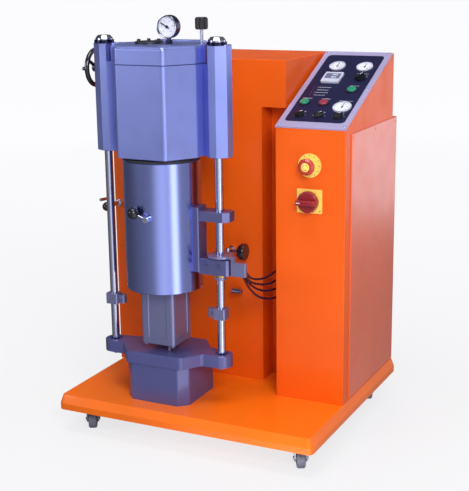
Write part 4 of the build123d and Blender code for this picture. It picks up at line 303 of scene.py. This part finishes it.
knob_red = moulded("knob_red", linear(140, 22, 34), rough=0.28, coat=0.4, grain=0.05)
plate_yellow = moulded("plate_yellow", linear(246, 206, 98), rough=0.36, coat=0.3, grain=0.04)
case_grey = moulded("case_grey", linear(190, 194, 214), rough=0.4, grain=0.08)
display_grey = moulded("display_grey", linear(104, 108, 138), rough=0.12, coat=0.8, grain=0.02)
needle_black = moulded("needle_black", linear(34, 30, 44), rough=0.4, grain=0.03)


def glass_material():
    surface = Surface("sight_window")
    surface.set("Base Color", linear(214, 226, 232))
    tone = surface.noise(40.0, 2.0)
    surface.set("Roughness", surface.span(tone, 0.02, 0.06))
    surface.set("Transmission Weight", 0.9)
    surface.set("IOR", 1.5)
    return surface.material


def chrome_columns():
    """Chromed columns; below the cap nuts' bright crown their flange is painted dark, a painted
    dark reflection.
    """
    surface = Surface("chrome_columns")
    marks = surface.noise(90.0, 3.0, (1.0, 1.0, 14.0))
    chrome = surface.mix(surface.span(marks, 0.0, 1.0), linear(176, 180, 212),
                         linear(204, 208, 232))
    # painted dark reflection: a dark band round the cap nuts' flange, just above the head's top
    painted_reflection_band = surface.band("Z", HEAD_TOP - 0.001, HEAD_TOP + 0.0072)
    surface.set("Base Color", surface.mix(painted_reflection_band, chrome, linear(40, 42, 66)))
    surface.set("Metallic", 1.0)
    surface.set("Roughness", surface.span(marks, 0.07, 0.14))
    surface.bump(marks, 0.02, 0.0003)
    return surface.material


def cock_material():
    """A black ball on a chromed lever."""
    surface = Surface("ball_lever")
    ball = surface.near(COCK_BALL, COCK_BALL_RADIUS)
    tone = surface.noise(60.0, 3.0)
    bright = surface.mix(tone, linear(190, 196, 222), linear(220, 224, 240))
    surface.set("Base Color", surface.mix(ball, bright, linear(20, 20, 30)))
    inverse = surface.add("ShaderNodeMath", operation="SUBTRACT")
    inverse.inputs[0].default_value = 1.0
    surface.link(ball, inverse.inputs[1])
    surface.set("Metallic", inverse.outputs[0])
    surface.set("Roughness", surface.span(tone, 0.12, 0.2))
    surface.bump(tone, 0.03, 0.0003)
    return surface.material


def vent_material():
    """A black lobed knob on a steel rod."""
    surface = Surface("vent_knob")
    knob = surface.band("Z", VENT_KNOB_LOW, 2.0)
    tone = surface.noise(80.0, 3.0, (1.0, 1.0, 6.0))
    bright = surface.mix(tone, linear(176, 180, 206), linear(210, 214, 234))
    surface.set("Base Color", surface.mix(knob, bright, linear(24, 24, 32)))
    inverse = surface.add("ShaderNodeMath", operation="SUBTRACT")
    inverse.inputs[0].default_value = 1.0
    surface.link(knob, inverse.inputs[1])
    surface.set("Metallic", inverse.outputs[0])
    surface.set("Roughness", surface.span(tone, 0.22, 0.34))
    surface.bump(tone, 0.05, 0.0003)
    return surface.material


NODE_MATERIALS = {
    "deck": deck_paint, "underframe": frame_paint, "cabinet_shell": orange_paint,
    "cabinet_back_cover": orange_paint, "column_shell": orange_paint,
    "column_side_cover": side_paint, "panel_bezel": bezel_paint, "panel_plate": panel_paint,
    "panel_instruments": case_grey, "switch_collars": black_satin,
    "left_green_button": green_lens, "right_green_button": green_lens, "red_button": red_lens,
    "left_lever_switch": black_gloss, "middle_lever_switch": black_gloss,
    "right_lever_switch": black_gloss, "rotary_selector": black_gloss,
    "left_gauge_pointer": needle_black, "right_gauge_pointer": needle_black,
    "large_gauge_pointer": needle_black, "base_casting": base_enamel,
    "guide_columns": chrome_columns(), "melting_chamber_body": head_enamel,
    "head_end_blocks": head_enamel, "crucible": graphite, "induction_coil": copper,
    "stopper_rod": graphite, "chamber_lid": head_enamel, "sight_glass_frame": black_satin,
    "sight_glass": glass_material(), "pressure_gauge": gauge_case,
    "pressure_pointer": ink_black, "vent_plunger": vent_material(),
    "clamp_handwheel": black_gloss, "clamp_washer": brass, "flask_chamber": chamber_metal,
    "chamber_seal": rubber, "swing_arm": arm_enamel, "manifold_bracket": machined,
    "lift_bush": brass, "lift_cylinder": machined, "flask_table": zinc,
    "vent_cock": cock_material(), "column_collars": machined, "wall_fittings": steel_bright,
    "wall_valve_knob": black_gloss, "side_cock_knob": black_gloss,
    "safety_plates": plate_yellow, "stop_button": stop_red, "isolator_knob": knob_red,
    "service_ports": zinc, "air_hoses": hose_plastic,
}
for place in ("front_left", "front_right", "rear_left", "rear_right"):
    NODE_MATERIALS["castor_fork_" + place] = zinc
    NODE_MATERIALS["castor_wheel_" + place] = wheel_grey

for name, material in NODE_MATERIALS.items():
    for slot in NODES[name].material_slots:
        slot.material = material


# ---------------------------------------------------------------- mesh building
class Form:
    """Collects vertices and faces, then becomes one piece."""

    def __init__(self):
        self.mesh = bmesh.new()
        self.matrix = Matrix.Identity(4)

    def lathe(self, profile, count=48, material=0):
        """A surface turned about local Z from an (r, z) profile, capped where r is 0."""
        rings = []
        for radius, height in profile:
            if radius <= 1e-7:
                rings.append([self.mesh.verts.new(self.matrix @ Vector((0, 0, height)))])
                continue
            ring = []
            for i in range(count):
                angle = 2 * math.pi * i / count
                spot = Vector((radius * math.cos(angle), radius * math.sin(angle), height))
                ring.append(self.mesh.verts.new(self.matrix @ spot))
            rings.append(ring)
        for lower, upper in zip(rings, rings[1:]):
            for i in range(count):
                j = (i + 1) % count
                if len(lower) == 1 and len(upper) == 1:
                    continue
                if len(lower) == 1:
                    corners = [lower[0], upper[j], upper[i]]
                elif len(upper) == 1:
                    corners = [lower[i], lower[j], upper[0]]
                else:
                    corners = [lower[i], lower[j], upper[j], upper[i]]
                made = self.mesh.faces.new(corners)
                made.material_index = material

    def slab(self, outline, low, high, material=0):
        """A flat plate on an (x, y) outline, with side walls and both faces."""
        count = len(outline)
        lower = [self.mesh.verts.new(self.matrix @ Vector((x, y, low))) for x, y in outline]
        upper = [self.mesh.verts.new(self.matrix @ Vector((x, y, high))) for x, y in outline]
        faces = [self.mesh.faces.new(list(reversed(lower))), self.mesh.faces.new(upper)]
        for i in range(count):
            j = (i + 1) % count
            faces.append(self.mesh.faces.new([lower[i], lower[j], upper[j], upper[i]]))
        for made in faces:
            made.material_index = material

    def plate(self, left, right, bottom, top, low, high, material=0):
        """A flat rectangle."""
        self.slab([(left, bottom), (right, bottom), (right, top), (left, top)], low, high,
                  material)

    def bar(self, start, end, width, low, high, material=0):
        """A thin straight stroke from start to end, both (x, y)."""
        along = Vector((end[0] - start[0], end[1] - start[1]))
        across = Vector((-along.y, along.x)).normalized() * width / 2
        first = Vector(start)
        last = Vector(end)
        self.slab([first - across, last - across, last + across, first + across], low, high,
                  material)

    def words(self, text, size, x, y, low, high, material=0):
        """Figures as thin raised shapes, centred on (x, y)."""
        curve = bpy.data.curves.new("figures", "FONT")
        curve.body = text
        curve.size = size
        curve.align_x = "CENTER"
        curve.align_y = "CENTER"
        curve.extrude = (high - low) / 2
        curve.resolution_u = 2
        holder = bpy.data.objects.new("figures", curve)
        mesh = bpy.data.meshes.new_from_object(holder)
        shift = self.matrix @ Matrix.Translation((x, y, (low + high) / 2))
        mesh.transform(shift)
        before = len(self.mesh.faces)
        self.mesh.from_mesh(mesh)
        self.mesh.faces.ensure_lookup_table()
        for made in self.mesh.faces[before:]:
            made.material_index = material
        bpy.data.meshes.remove(mesh)
        bpy.data.objects.remove(holder)
        bpy.data.curves.remove(curve)

    def piece(self, name, body, slot, *materials, sharp=35.0):
        """Closes the form: edges under the sharp angle are smooth, and it rides on a body."""
        bmesh.ops.remove_doubles(self.mesh, verts=self.mesh.verts, dist=1e-7)
        bmesh.ops.recalc_face_normals(self.mesh, faces=self.mesh.faces)
        limit = math.radians(sharp)
        for edge in self.mesh.edges:
            edge.smooth = len(edge.link_faces) != 2 or edge.calc_face_angle(0.0) < limit
        for made in self.mesh.faces:
            made.smooth = True
        mesh = bpy.data.meshes.new(name)
        self.mesh.to_mesh(mesh)
        self.mesh.free()
        for material in materials:
            mesh.materials.append(material)
        made = bpy.data.objects.new(name, mesh)
        bpy.context.scene.collection.objects.link(made)
        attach(made, body)
        return made


def panel_place(x, along, height=0.0):
    """A place on the sloping panel, with local Z out of it and local Y up the slope."""
    y = COLUMN_FRONT + along * math.cos(SLOPE) - height * math.sin(SLOPE)
    z = COLUMN_FRONT_TOP + along * math.sin(SLOPE) + height * math.cos(SLOPE)
    return Matrix.Translation((COLUMN_MID_X + x, y, z)) @ Matrix.Rotation(SLOPE, 4, "X")


def facing_front(centre):
    """Local Z towards the operator, local Y up."""
    return Matrix.Translation(centre) @ Matrix.Rotation(math.pi / 2, 4, "X")


def facing_back(centre):
    """Local Z away from the operator, local Y up."""
    return facing_front(centre) @ Matrix.Rotation(math.pi, 4, "Y")


def facing_right(centre):
    """Local Z towards +X, local Y up."""
    return facing_front(centre) @ Matrix.Rotation(math.pi / 2, 4, "Y")


def around(radius, angle, x=0.0, y=0.0):
    """A point at an angle on a circle about (x, y)."""
    return (x + radius * math.cos(angle), y + radius * math.sin(angle))


# ---------------------------------------------------------------- dials
INK = 0.00012
CHAPTER_RISE = 0.00015
DIAL_START = 225.0
DIAL_SWEEP = 270.0
TICKS_PER_FIGURE = 4


def dial_angle(step, count):
    """Where one of count marks stands on the scale, which runs clockwise."""
    return math.radians(DIAL_START - DIAL_SWEEP * step / (count - 1))


def dial(name, place, radius, figures, body, ticks=25):
    """A dial with a raised chapter ring, its ticks and its figures."""
    form = Form()
    form.matrix = place
    form.lathe([(0, 0), (radius * 0.80, 0), (radius * 0.82, CHAPTER_RISE),
                (radius * 0.985, CHAPTER_RISE), (radius, CHAPTER_RISE / 3)], 64, 0)
    tick_foot = CHAPTER_RISE + 0.00001
    for i in range(ticks):
        angle = dial_angle(i, ticks)
        major = i % TICKS_PER_FIGURE == 0
        form.bar(around(radius * (0.80 if major else 0.86), angle),
                 around(radius * 0.96, angle),
                 radius * (0.035 if major else 0.018), tick_foot, tick_foot + INK, 1)
    for i, figure in enumerate(figures):
        x, y = around(radius * 0.60, dial_angle(i, len(figures)))
        form.words(figure, radius * 0.24, x, y, INK / 4, INK, 1)
    return form.piece(name, body, "instrument_white", dial_white, ink_black)


for index, (x, along, radius) in enumerate(PANEL_GAUGES):
    dial("panel_dial_%d" % index, panel_place(x, along, DIAL_RISE), radius,
         ["0", "2", "4", "6", "8", "10"], "machine")
dial("lid_gauge_dial", facing_front(GAUGE_CENTRE + Vector((0, GAUGE_DIAL_DEPTH, 0))),
     GAUGE_DIAL_RADIUS,
     ["-1", "0", "1", "2", "3", "4"], "lid", ticks=26)

# the lid gauge's bright bezel
bezel_ring = Form()
bezel_ring.matrix = facing_front(GAUGE_CENTRE)
bezel_ring.lathe([(0.0241, 0.0), (0.0246, 0.0006), (0.0256, 0.0008), (0.0266, 0.0005),
                  (0.0269, 0.0)], 64, 0)
bezel_ring.piece("lid_gauge_bezel", "lid", "chromed_steel", steel_bright)

# ---------------------------------------------------------------- panel print and controls
LABEL_STROKES = random.Random(7)
LABEL_ROW = 0.0042
LABEL_THICKNESS = 0.0013
LABEL_STROKE = (0.0022, 0.0052)
LABEL_GAP = 0.0012

# the column of small lamps beside their labels
LAMPS = 4
LAMP_X = -0.056
LAMP_LABEL_X = -0.030
LAMP_TOP = 0.186
LAMP_PITCH = 0.0125

print_form = Form()
print_form.matrix = panel_place(0, 0, PANEL_T)


def label(x, along, length, rows=1):
    """A place for a label: rows of short bare strokes."""
    for row in range(rows):
        height = along - row * LABEL_ROW
        at = x - length / 2
        end = x + length / 2
        while at < end:
            stop = min(at + LABEL_STROKES.uniform(*LABEL_STROKE), end)
            print_form.bar((at, height), (stop, height), LABEL_THICKNESS, 0.0, INK, 0)
            at = stop + LABEL_GAP


def position_marks(x, along, angles, inner, outer, thickness):
    """Short strokes round a switch."""
    for degrees in angles:
        angle = math.radians(degrees)
        print_form.bar(around(inner, angle, x, along), around(outer, angle, x, along),
                       thickness, 0.0, INK, 0)


for x, along in LEVERS:
    label(x, along + 0.0185, 0.022)
    position_marks(x, along, range(10, 171, 40), 0.0135, 0.0160, 0.0008)
for button_name, x, along in BUTTONS:
    label(x, along + 0.0205, 0.024)
position_marks(*SELECTOR, range(30, 151, 20), 0.0165, 0.0195, 0.0009)
label(SELECTOR[0], SELECTOR[1] + 0.0245, 0.030)
label(PANEL_GAUGES[2][0], PANEL_GAUGES[2][1] + 0.0290, 0.036)
label(CONTROLLER[0], CONTROLLER[1] + 0.0290, 0.034)
for row in range(LAMPS):
    along = LAMP_TOP - row * LAMP_PITCH
    label(LAMP_LABEL_X, along, 0.030 if row % 2 else 0.036)
    print_form.matrix = panel_place(LAMP_X, along, PANEL_T)
    print_form.lathe([(0.0, 0.0006), (0.0010, 0.0004), (0.0014, 0.0)], 12, 1)
    print_form.matrix = panel_place(0, 0, PANEL_T)
print_form.piece("panel_print", "machine", "instrument_white", ink_white, red_lens)

# the controller's display with two rows of figures, and its row of keys
SCREEN_BORDER = 0.0042
KEY_HALF = 0.0034
screen = Form()
screen.matrix = panel_place(CONTROLLER[0], CONTROLLER[1], 0.0)
screen_half = CONTROLLER[2] / 2 - SCREEN_BORDER
screen.plate(-screen_half, screen_half, -0.0078, 0.0178, 0.0070, 0.0073, 0)
for height in (0.0112, -0.0006):
    screen.words("888", 0.0095, 0.004, height, 0.00731, 0.0075, 1)
for x in (-0.015, -0.005, 0.005, 0.015):
    screen.plate(x - KEY_HALF, x + KEY_HALF, -0.0175, -0.0128, 0.0080, 0.0086, 2)
screen.piece("controller_face", "machine", "instrument_white", display_grey, ink_white,
             case_grey)

# domed lenses on the push buttons
for button_name, x, along in BUTTONS:
    green = "green" in button_name
    cap = Form()
    cap.matrix = panel_place(x, along, BUTTON_TOP)
    cap.lathe([(0.0086, 0.0), (0.0088, 0.0003), (0.0079, 0.0005), (0.0, 0.0008)], 40, 0)
    cap.piece(button_name + "_lens", button_name, "green_plastic" if green else "red_plastic",
              green_lens if green else red_lens)

# white index strokes on the lever switches and the selector
for name, (x, along), turn, reach, rise in (
        ("left_lever_switch", LEVERS[0], 35.0, 0.0095, LEVER_TOP),
        ("middle_lever_switch", LEVERS[1], 35.0, 0.0095, LEVER_TOP),
        ("right_lever_switch", LEVERS[2], 35.0, 0.0095, LEVER_TOP),
        ("rotary_selector", SELECTOR, 60.0, 0.0110, SELECTOR_TOP)):
    stroke = Form()
    stroke.matrix = panel_place(x, along, rise) @ Matrix.Rotation(math.radians(turn), 4, "Z")
    stroke.bar((0.0015, 0), (reach, 0), 0.0015, 0.0, INK, 0)
    stroke.piece(name + "_index", name, "instrument_white", ink_white)

# ---------------------------------------------------------------- screws
# each kind's head radius and height
BEZEL_SCREW = (0.0028, 0.0012)
COVER_SCREW = (0.0026, 0.0010)
BACK_SCREW = (0.0030, 0.0013)
END_BLOCK_SCREW = (0.0032, 0.0016)

BEZEL_TOP = 0.004
BEZEL_SCREW_X = 0.0825
BEZEL_SCREW_ALONG = (0.010, SLOPE_LENGTH / 2, SLOPE_LENGTH - 0.009)
COVER_T = 0.003
COVER_SCREW_Y = (-0.040, 0.119, 0.276)
COVER_SCREW_Z = (0.112, 0.435, 0.758)
BACK_SCREW_X = (-0.336, -0.128, 0.078)
BACK_SCREW_Z = (0.110, 0.330, 0.550, 0.770, 0.921)
LINK_SCREW_X = 0.143
LINK_SCREW_Z = (0.835, 0.921)


def button_screw(form, radius, height, cross=True):
    """A low round-headed screw at the form's place, with its cross recess marked on it in black,
    painted shade.
    """
    form.lathe([(radius, 0.0), (radius * 0.97, height * 0.35), (radius * 0.75, height * 0.8),
                (radius * 0.35, height * 0.98), (0.0, height)], 20, 0)
    # painted shade: the cross recess is drawn as thin black strokes
    if cross:
        for angle in (0.0, math.pi / 2):
            x, y = around(radius * 0.5, angle)
            form.bar((-x, -y), (x, y), radius * 0.2, height * 0.9, height * 1.03, 1)


bezel_screws = Form()
for x in (-BEZEL_SCREW_X, BEZEL_SCREW_X):
    for along in BEZEL_SCREW_ALONG:
        bezel_screws.matrix = panel_place(x, along, BEZEL_TOP)
        button_screw(bezel_screws, *BEZEL_SCREW)
bezel_screws.piece("bezel_screws", "machine", "zinc_steel", steel_bright, ink_black)

cover_screws = Form()
for y in COVER_SCREW_Y:
    for z in COVER_SCREW_Z:
        cover_screws.matrix = facing_right((COLUMN_RIGHT + COVER_T, y, z))
        button_screw(cover_screws, *COVER_SCREW)
cover_screws.piece("side_cover_screws", "machine", "zinc_steel", side_paint, ink_black)

back_screws = Form()
back_places = [(x, z) for x in BACK_SCREW_X for z in BACK_SCREW_Z]
back_places += [(LINK_SCREW_X, z) for z in LINK_SCREW_Z]
for x, z in back_places:
    back_screws.matrix = facing_back((x, CABINET_BACK, z))
    button_screw(back_screws, *BACK_SCREW)
back_screws.piece("back_cover_screws", "machine", "zinc_steel", zinc, ink_black)

# plain screws in the top of the head's end blocks
END_BLOCK_X = 0.1700
END_BLOCK_Y = (-0.190, -0.163)
block_screws = Form()
for side in (-1, 1):
    for y in END_BLOCK_Y:
        block_screws.matrix = Matrix.Translation((PRESS_X + side * END_BLOCK_X, y, HEAD_TOP))
        button_screw(block_screws, *END_BLOCK_SCREW, cross=False)
block_screws.piece("end_block_screws", "machine", "zinc_steel", steel_bright, ink_black)

# ---------------------------------------------------------------- stop button and isolator
# the button's yellow cap, with three curved strokes that show which way to turn it
STROKE_TURN = 0.22
stop_mark = Form()
stop_mark.matrix = facing_front(STOP_CENTRE + Vector((0, -STOP_CAP_RISE, 0)))
stop_mark.lathe([(0.0105, -0.0004), (0.0098, 0.0001), (0.0, 0.0004)], 40, 0)
for i in range(3):
    start = 2 * math.pi * i / 3
    points = [around(0.0068, start + STROKE_TURN * k) for k in range(7)]
    for first, last in zip(points, points[1:]):
        stop_mark.bar(first, last, 0.0012, 0.0002, 0.0005, 1)
stop_mark.piece("stop_button_cap", "stop_button", "red_plastic", plate_yellow, stop_red)

PLATE_MARKS = 12
stop_plate = Form()
stop_plate.matrix = facing_front(STOP_CENTRE + Vector((0, -SAFETY_PLATE_T, 0)))
for i in range(PLATE_MARKS):
    angle = 2 * math.pi * i / PLATE_MARKS
    stop_plate.bar(around(0.0235, angle), around(0.0262, angle), 0.0016, 0.0, INK, 0)
stop_plate.piece("stop_plate_marks", "machine", "yellow_plastic", ink_black)

isolator_marks = Form()
isolator_marks.matrix = facing_front(ISOLATOR_CENTRE + Vector((0, -SAFETY_PLATE_T, 0)))
isolator_marks.words("0", 0.0075, 0.0272, -0.0235, 0.0, INK, 0)
isolator_marks.words("1", 0.0075, 0.0272, 0.0235, 0.0, INK, 0)
isolator_marks.piece("isolator_marks", "machine", "yellow_plastic", ink_black)

grip_mark = Form()
grip_mark.matrix = facing_front(ISOLATOR_CENTRE + Vector((0, -ISOLATOR_GRIP_RISE, 0)))
grip_mark.bar((-0.0215, 0), (-0.0120, 0), 0.0022, 0.0, INK, 0)
grip_mark.piece("isolator_grip_mark", "isolator_knob", "red_plastic", ink_white)

# ---------------------------------------------------------------- hoses
hoses = bpy.data.curves.new("hose_lines", "CURVE")
hoses.dimensions = "3D"
hoses.bevel_depth = HOSE_RADIUS
hoses.bevel_resolution = 4
hoses.resolution_u = 10
for (start_x, start_z), *middle in HOSE_ROUTES:
    start = Vector((start_x, MANIFOLD_BACK + HOSE_START, start_z - HOSE_START))
    after = start + Vector((0, HOSE_STEP, -HOSE_STEP))
    end = Vector((middle[-1][0], GLAND_FACE, middle[-1][2]))
    points = [start, after] + [Vector(point) for point in middle] + [end]
    spline = hoses.splines.new("NURBS")
    spline.points.add(len(points) - 1)
    for target, point in zip(spline.points, points):
        target.co = (point.x, point.y, point.z, 1.0)
    spline.order_u = 3
    spline.use_endpoint_u = True
hoses.materials.append(hose_plastic)
hose_piece = bpy.data.objects.new("hose_lines", hoses)
bpy.context.scene.collection.objects.link(hose_piece)
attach(hose_piece, "machine")
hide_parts("air_hoses")

# ---------------------------------------------------------------- floor, light, camera
FLOOR_WHITE = linear(250, 250, 252)
FLOOR_HALF = 30.0
# the level of white that the camera sees: under the machine, and far away
NEAR_WHITE = 0.80
FAR_WHITE = 0.985
NEAR_REACH = 0.6
FAR_REACH = 5.0


def towards(degrees):
    """The level direction at an angle from the operator's side, positive to the right."""
    angle = math.radians(degrees)
    return (math.sin(angle), -math.cos(angle), 0.0)


# what the studio shows round about, as lobes that are added up: each one's direction, its
# level, and its tone from its back (0) to its front (1)
STUDIO_LOBES = [
    (60.0, 1.0, ((0.0, 0.12), (0.50, 0.30), (0.75, 0.46), (1.0, 0.52))),
    (27.0, 0.8, ((0.0, 0.0), (0.940, 0.0), (0.992, 0.8), (1.0, 1.0))),
    (62.0, 2.6, ((0.0, 0.0), (0.990, 0.0), (0.996, 0.9), (1.0, 1.0))),
]


def studio_glow(surface, vector):
    """The studio round the machine: dark behind it to the left, pale towards the camera,
    with one tall bright sheet to the right of it."""
    unit = surface.add("ShaderNodeVectorMath", operation="NORMALIZE")
    surface.link(vector, unit.inputs[0])
    tones = []
    for degrees, level, stops in STUDIO_LOBES:
        facing = surface.add("ShaderNodeVectorMath", operation="DOT_PRODUCT")
        surface.link(unit.outputs[0], facing.inputs[0])
        facing.inputs[1].default_value = towards(degrees)
        share = surface.add("ShaderNodeMapRange")
        share.inputs["From Min"].default_value = -1.0
        surface.link(facing.outputs["Value"], share.inputs["Value"])
        ramp = surface.add("ShaderNodeValToRGB")
        while len(ramp.color_ramp.elements) < len(stops):
            ramp.color_ramp.elements.new(0.5)
        for element, (position, tone) in zip(ramp.color_ramp.elements, stops):
            element.position = position
            element.color = (tone, tone, min(1.0, tone * 1.03), 1.0)
        surface.link(share.outputs["Result"], ramp.inputs["Fac"])
        lit = surface.add("ShaderNodeVectorMath", operation="SCALE")
        surface.link(ramp.outputs["Color"], lit.inputs[0])
        lit.inputs["Scale"].default_value = level
        tones.append(lit.outputs[0])
    total = tones[0]
    for tone in tones[1:]:
        both = surface.add("ShaderNodeVectorMath", operation="ADD")
        surface.link(total, both.inputs[0])
        surface.link(tone, both.inputs[1])
        total = both.outputs[0]
    return total


def floor_material():
    """A pale floor that stays nearly white for the camera and keeps a soft shadow; what the
    metal mirrors of it follows the studio."""
    surface = Surface("floor")
    away = surface.add("ShaderNodeVectorMath", operation="LENGTH")
    surface.link(surface.place.outputs["Object"], away.inputs[0])
    level = surface.span(away.outputs["Value"], NEAR_WHITE, FAR_WHITE, NEAR_REACH, FAR_REACH)
    seen = surface.add("ShaderNodeEmission")
    seen.inputs["Color"].default_value = FLOOR_WHITE
    surface.link(level, seen.inputs["Strength"])
    faint = surface.add("ShaderNodeBsdfDiffuse")
    faint.inputs["Color"].default_value = (0.15, 0.15, 0.15, 1.0)
    both = surface.add("ShaderNodeAddShader")
    surface.link(seen.outputs[0], both.inputs[0])
    surface.link(faint.outputs[0], both.inputs[1])
    mirrored = surface.add("ShaderNodeEmission")
    shifted = surface.add("ShaderNodeVectorMath", operation="SUBTRACT")
    surface.link(surface.place.outputs["Object"], shifted.inputs[0])
    shifted.inputs[1].default_value = (PRESS_X, CHAMBER_Y, 0.0)
    surface.link(studio_glow(surface, shifted.outputs[0]), mirrored.inputs["Color"])
    mirrored.inputs["Strength"].default_value = 0.85
    path = surface.add("ShaderNodeLightPath")
    chosen = surface.add("ShaderNodeMixShader")
    surface.link(path.outputs["Is Camera Ray"], chosen.inputs[0])
    surface.link(mirrored.outputs[0], chosen.inputs[1])
    surface.link(both.outputs[0], chosen.inputs[2])
    surface.link(chosen.outputs[0], surface.tree.nodes["Material Output"].inputs["Surface"])
    return surface.material


floor_mesh = bpy.data.meshes.new("floor")
floor_mesh.from_pydata([(-FLOOR_HALF, -FLOOR_HALF, 0), (FLOOR_HALF, -FLOOR_HALF, 0),
                        (FLOOR_HALF, FLOOR_HALF, 0), (-FLOOR_HALF, FLOOR_HALF, 0)], [],
                       [(0, 1, 2, 3)])
floor = bpy.data.objects.new("floor", floor_mesh)
floor_mesh.materials.append(floor_material())
bpy.context.scene.collection.objects.link(floor)


def soft_light(name, place, target, width, height, power, colour=(1.0, 1.0, 1.0)):
    """An area lamp aimed at a target, which the camera doesn't see."""
    light = bpy.data.lights.new(name, "AREA")
    light.shape = "RECTANGLE"
    light.size = width
    light.size_y = height
    light.energy = power
    light.color = colour
    holder = bpy.data.objects.new(name, light)
    holder.location = place
    aim = Vector(target) - Vector(place)
    holder.rotation_euler = aim.to_track_quat("-Z", "Y").to_euler()
    holder.visible_camera = False
    bpy.context.scene.collection.objects.link(holder)
    return holder


soft_light("key", (1.9, -2.5, 2.2), (0.0, 0.0, 0.5), 1.2, 1.2, 74.0)
soft_light("left_fill", (-2.2, -2.4, 1.5), (-0.1, 0.0, 0.55), 1.0, 1.6, 22.0)
soft_light("rear_sheet", (1.5, 2.1, 0.80), (0.34, 0.1, 0.6), 1.8, 2.0, 13.0, (1.0, 0.88, 0.98))
rear_fill = soft_light("rear_fill", (-1.2, 2.5, 2.3), (-0.1, 0.2, 0.5), 1.6, 1.6, 28.0)
# it lights the back without mirroring in the level faces
rear_fill.visible_glossy = False
soft_light("top", (0.1, -0.6, 3.2), (0.0, 0.0, 0.8), 2.0, 1.4, 42.0)


class Sky(Surface):
    """The world's nodes, made with the same helpers."""

    def __init__(self, world):
        self.tree = world.node_tree
        self.tree.nodes.clear()
        self.place = self.add("ShaderNodeTexCoord")


world = bpy.data.worlds.new("studio")
bpy.context.scene.world = world
world.use_nodes = True
sky = Sky(world)
ambient = sky.add("ShaderNodeBackground")
ambient.inputs["Strength"].default_value = 0.62
sky.link(studio_glow(sky, sky.place.outputs["Generated"]), ambient.inputs["Color"])
white = sky.add("ShaderNodeBackground")
white.inputs["Color"].default_value = FLOOR_WHITE
white.inputs["Strength"].default_value = FAR_WHITE
path = sky.add("ShaderNodeLightPath")
chosen = sky.add("ShaderNodeMixShader")
output = sky.add("ShaderNodeOutputWorld")
sky.link(path.outputs["Is Camera Ray"], chosen.inputs[0])
sky.link(ambient.outputs[0], chosen.inputs[1])
sky.link(white.outputs[0], chosen.inputs[2])
sky.link(chosen.outputs[0], output.inputs["Surface"])

# the camera, solved from the edges of the deck, cabinet and column
CAMERA_PLACE = Vector((1.2350, -2.5131, 1.1606))
CAMERA_PITCH = math.radians(14.18)
CAMERA_AZIMUTH = math.radians(26.03)
CAMERA_ROLL = math.radians(-0.757)
FOCAL_PIXELS = 1118.59
PHOTO_HEIGHT = 491
forward = Vector((-math.sin(CAMERA_AZIMUTH) * math.cos(CAMERA_PITCH),
                  math.cos(CAMERA_AZIMUTH) * math.cos(CAMERA_PITCH),
                  -math.sin(CAMERA_PITCH)))
level = Vector((math.cos(CAMERA_AZIMUTH), math.sin(CAMERA_AZIMUTH), 0.0))
rise = level.cross(forward)
right = math.cos(CAMERA_ROLL) * level + math.sin(CAMERA_ROLL) * rise
upward = -math.sin(CAMERA_ROLL) * level + math.cos(CAMERA_ROLL) * rise
camera_data = bpy.data.cameras.new("camera")
camera_data.sensor_fit = "VERTICAL"
camera_data.sensor_height = 36.0
camera_data.lens = FOCAL_PIXELS * camera_data.sensor_height / PHOTO_HEIGHT
camera = bpy.data.objects.new("camera", camera_data)
camera.matrix_world = Matrix((
    (right.x, upward.x, -forward.x, CAMERA_PLACE.x),
    (right.y, upward.y, -forward.y, CAMERA_PLACE.y),
    (right.z, upward.z, -forward.z, CAMERA_PLACE.z),
    (0.0, 0.0, 0.0, 1.0)))
bpy.context.scene.collection.objects.link(camera)
bpy.context.scene.camera = camera
bpy.context.scene.view_settings.view_transform = "Standard"
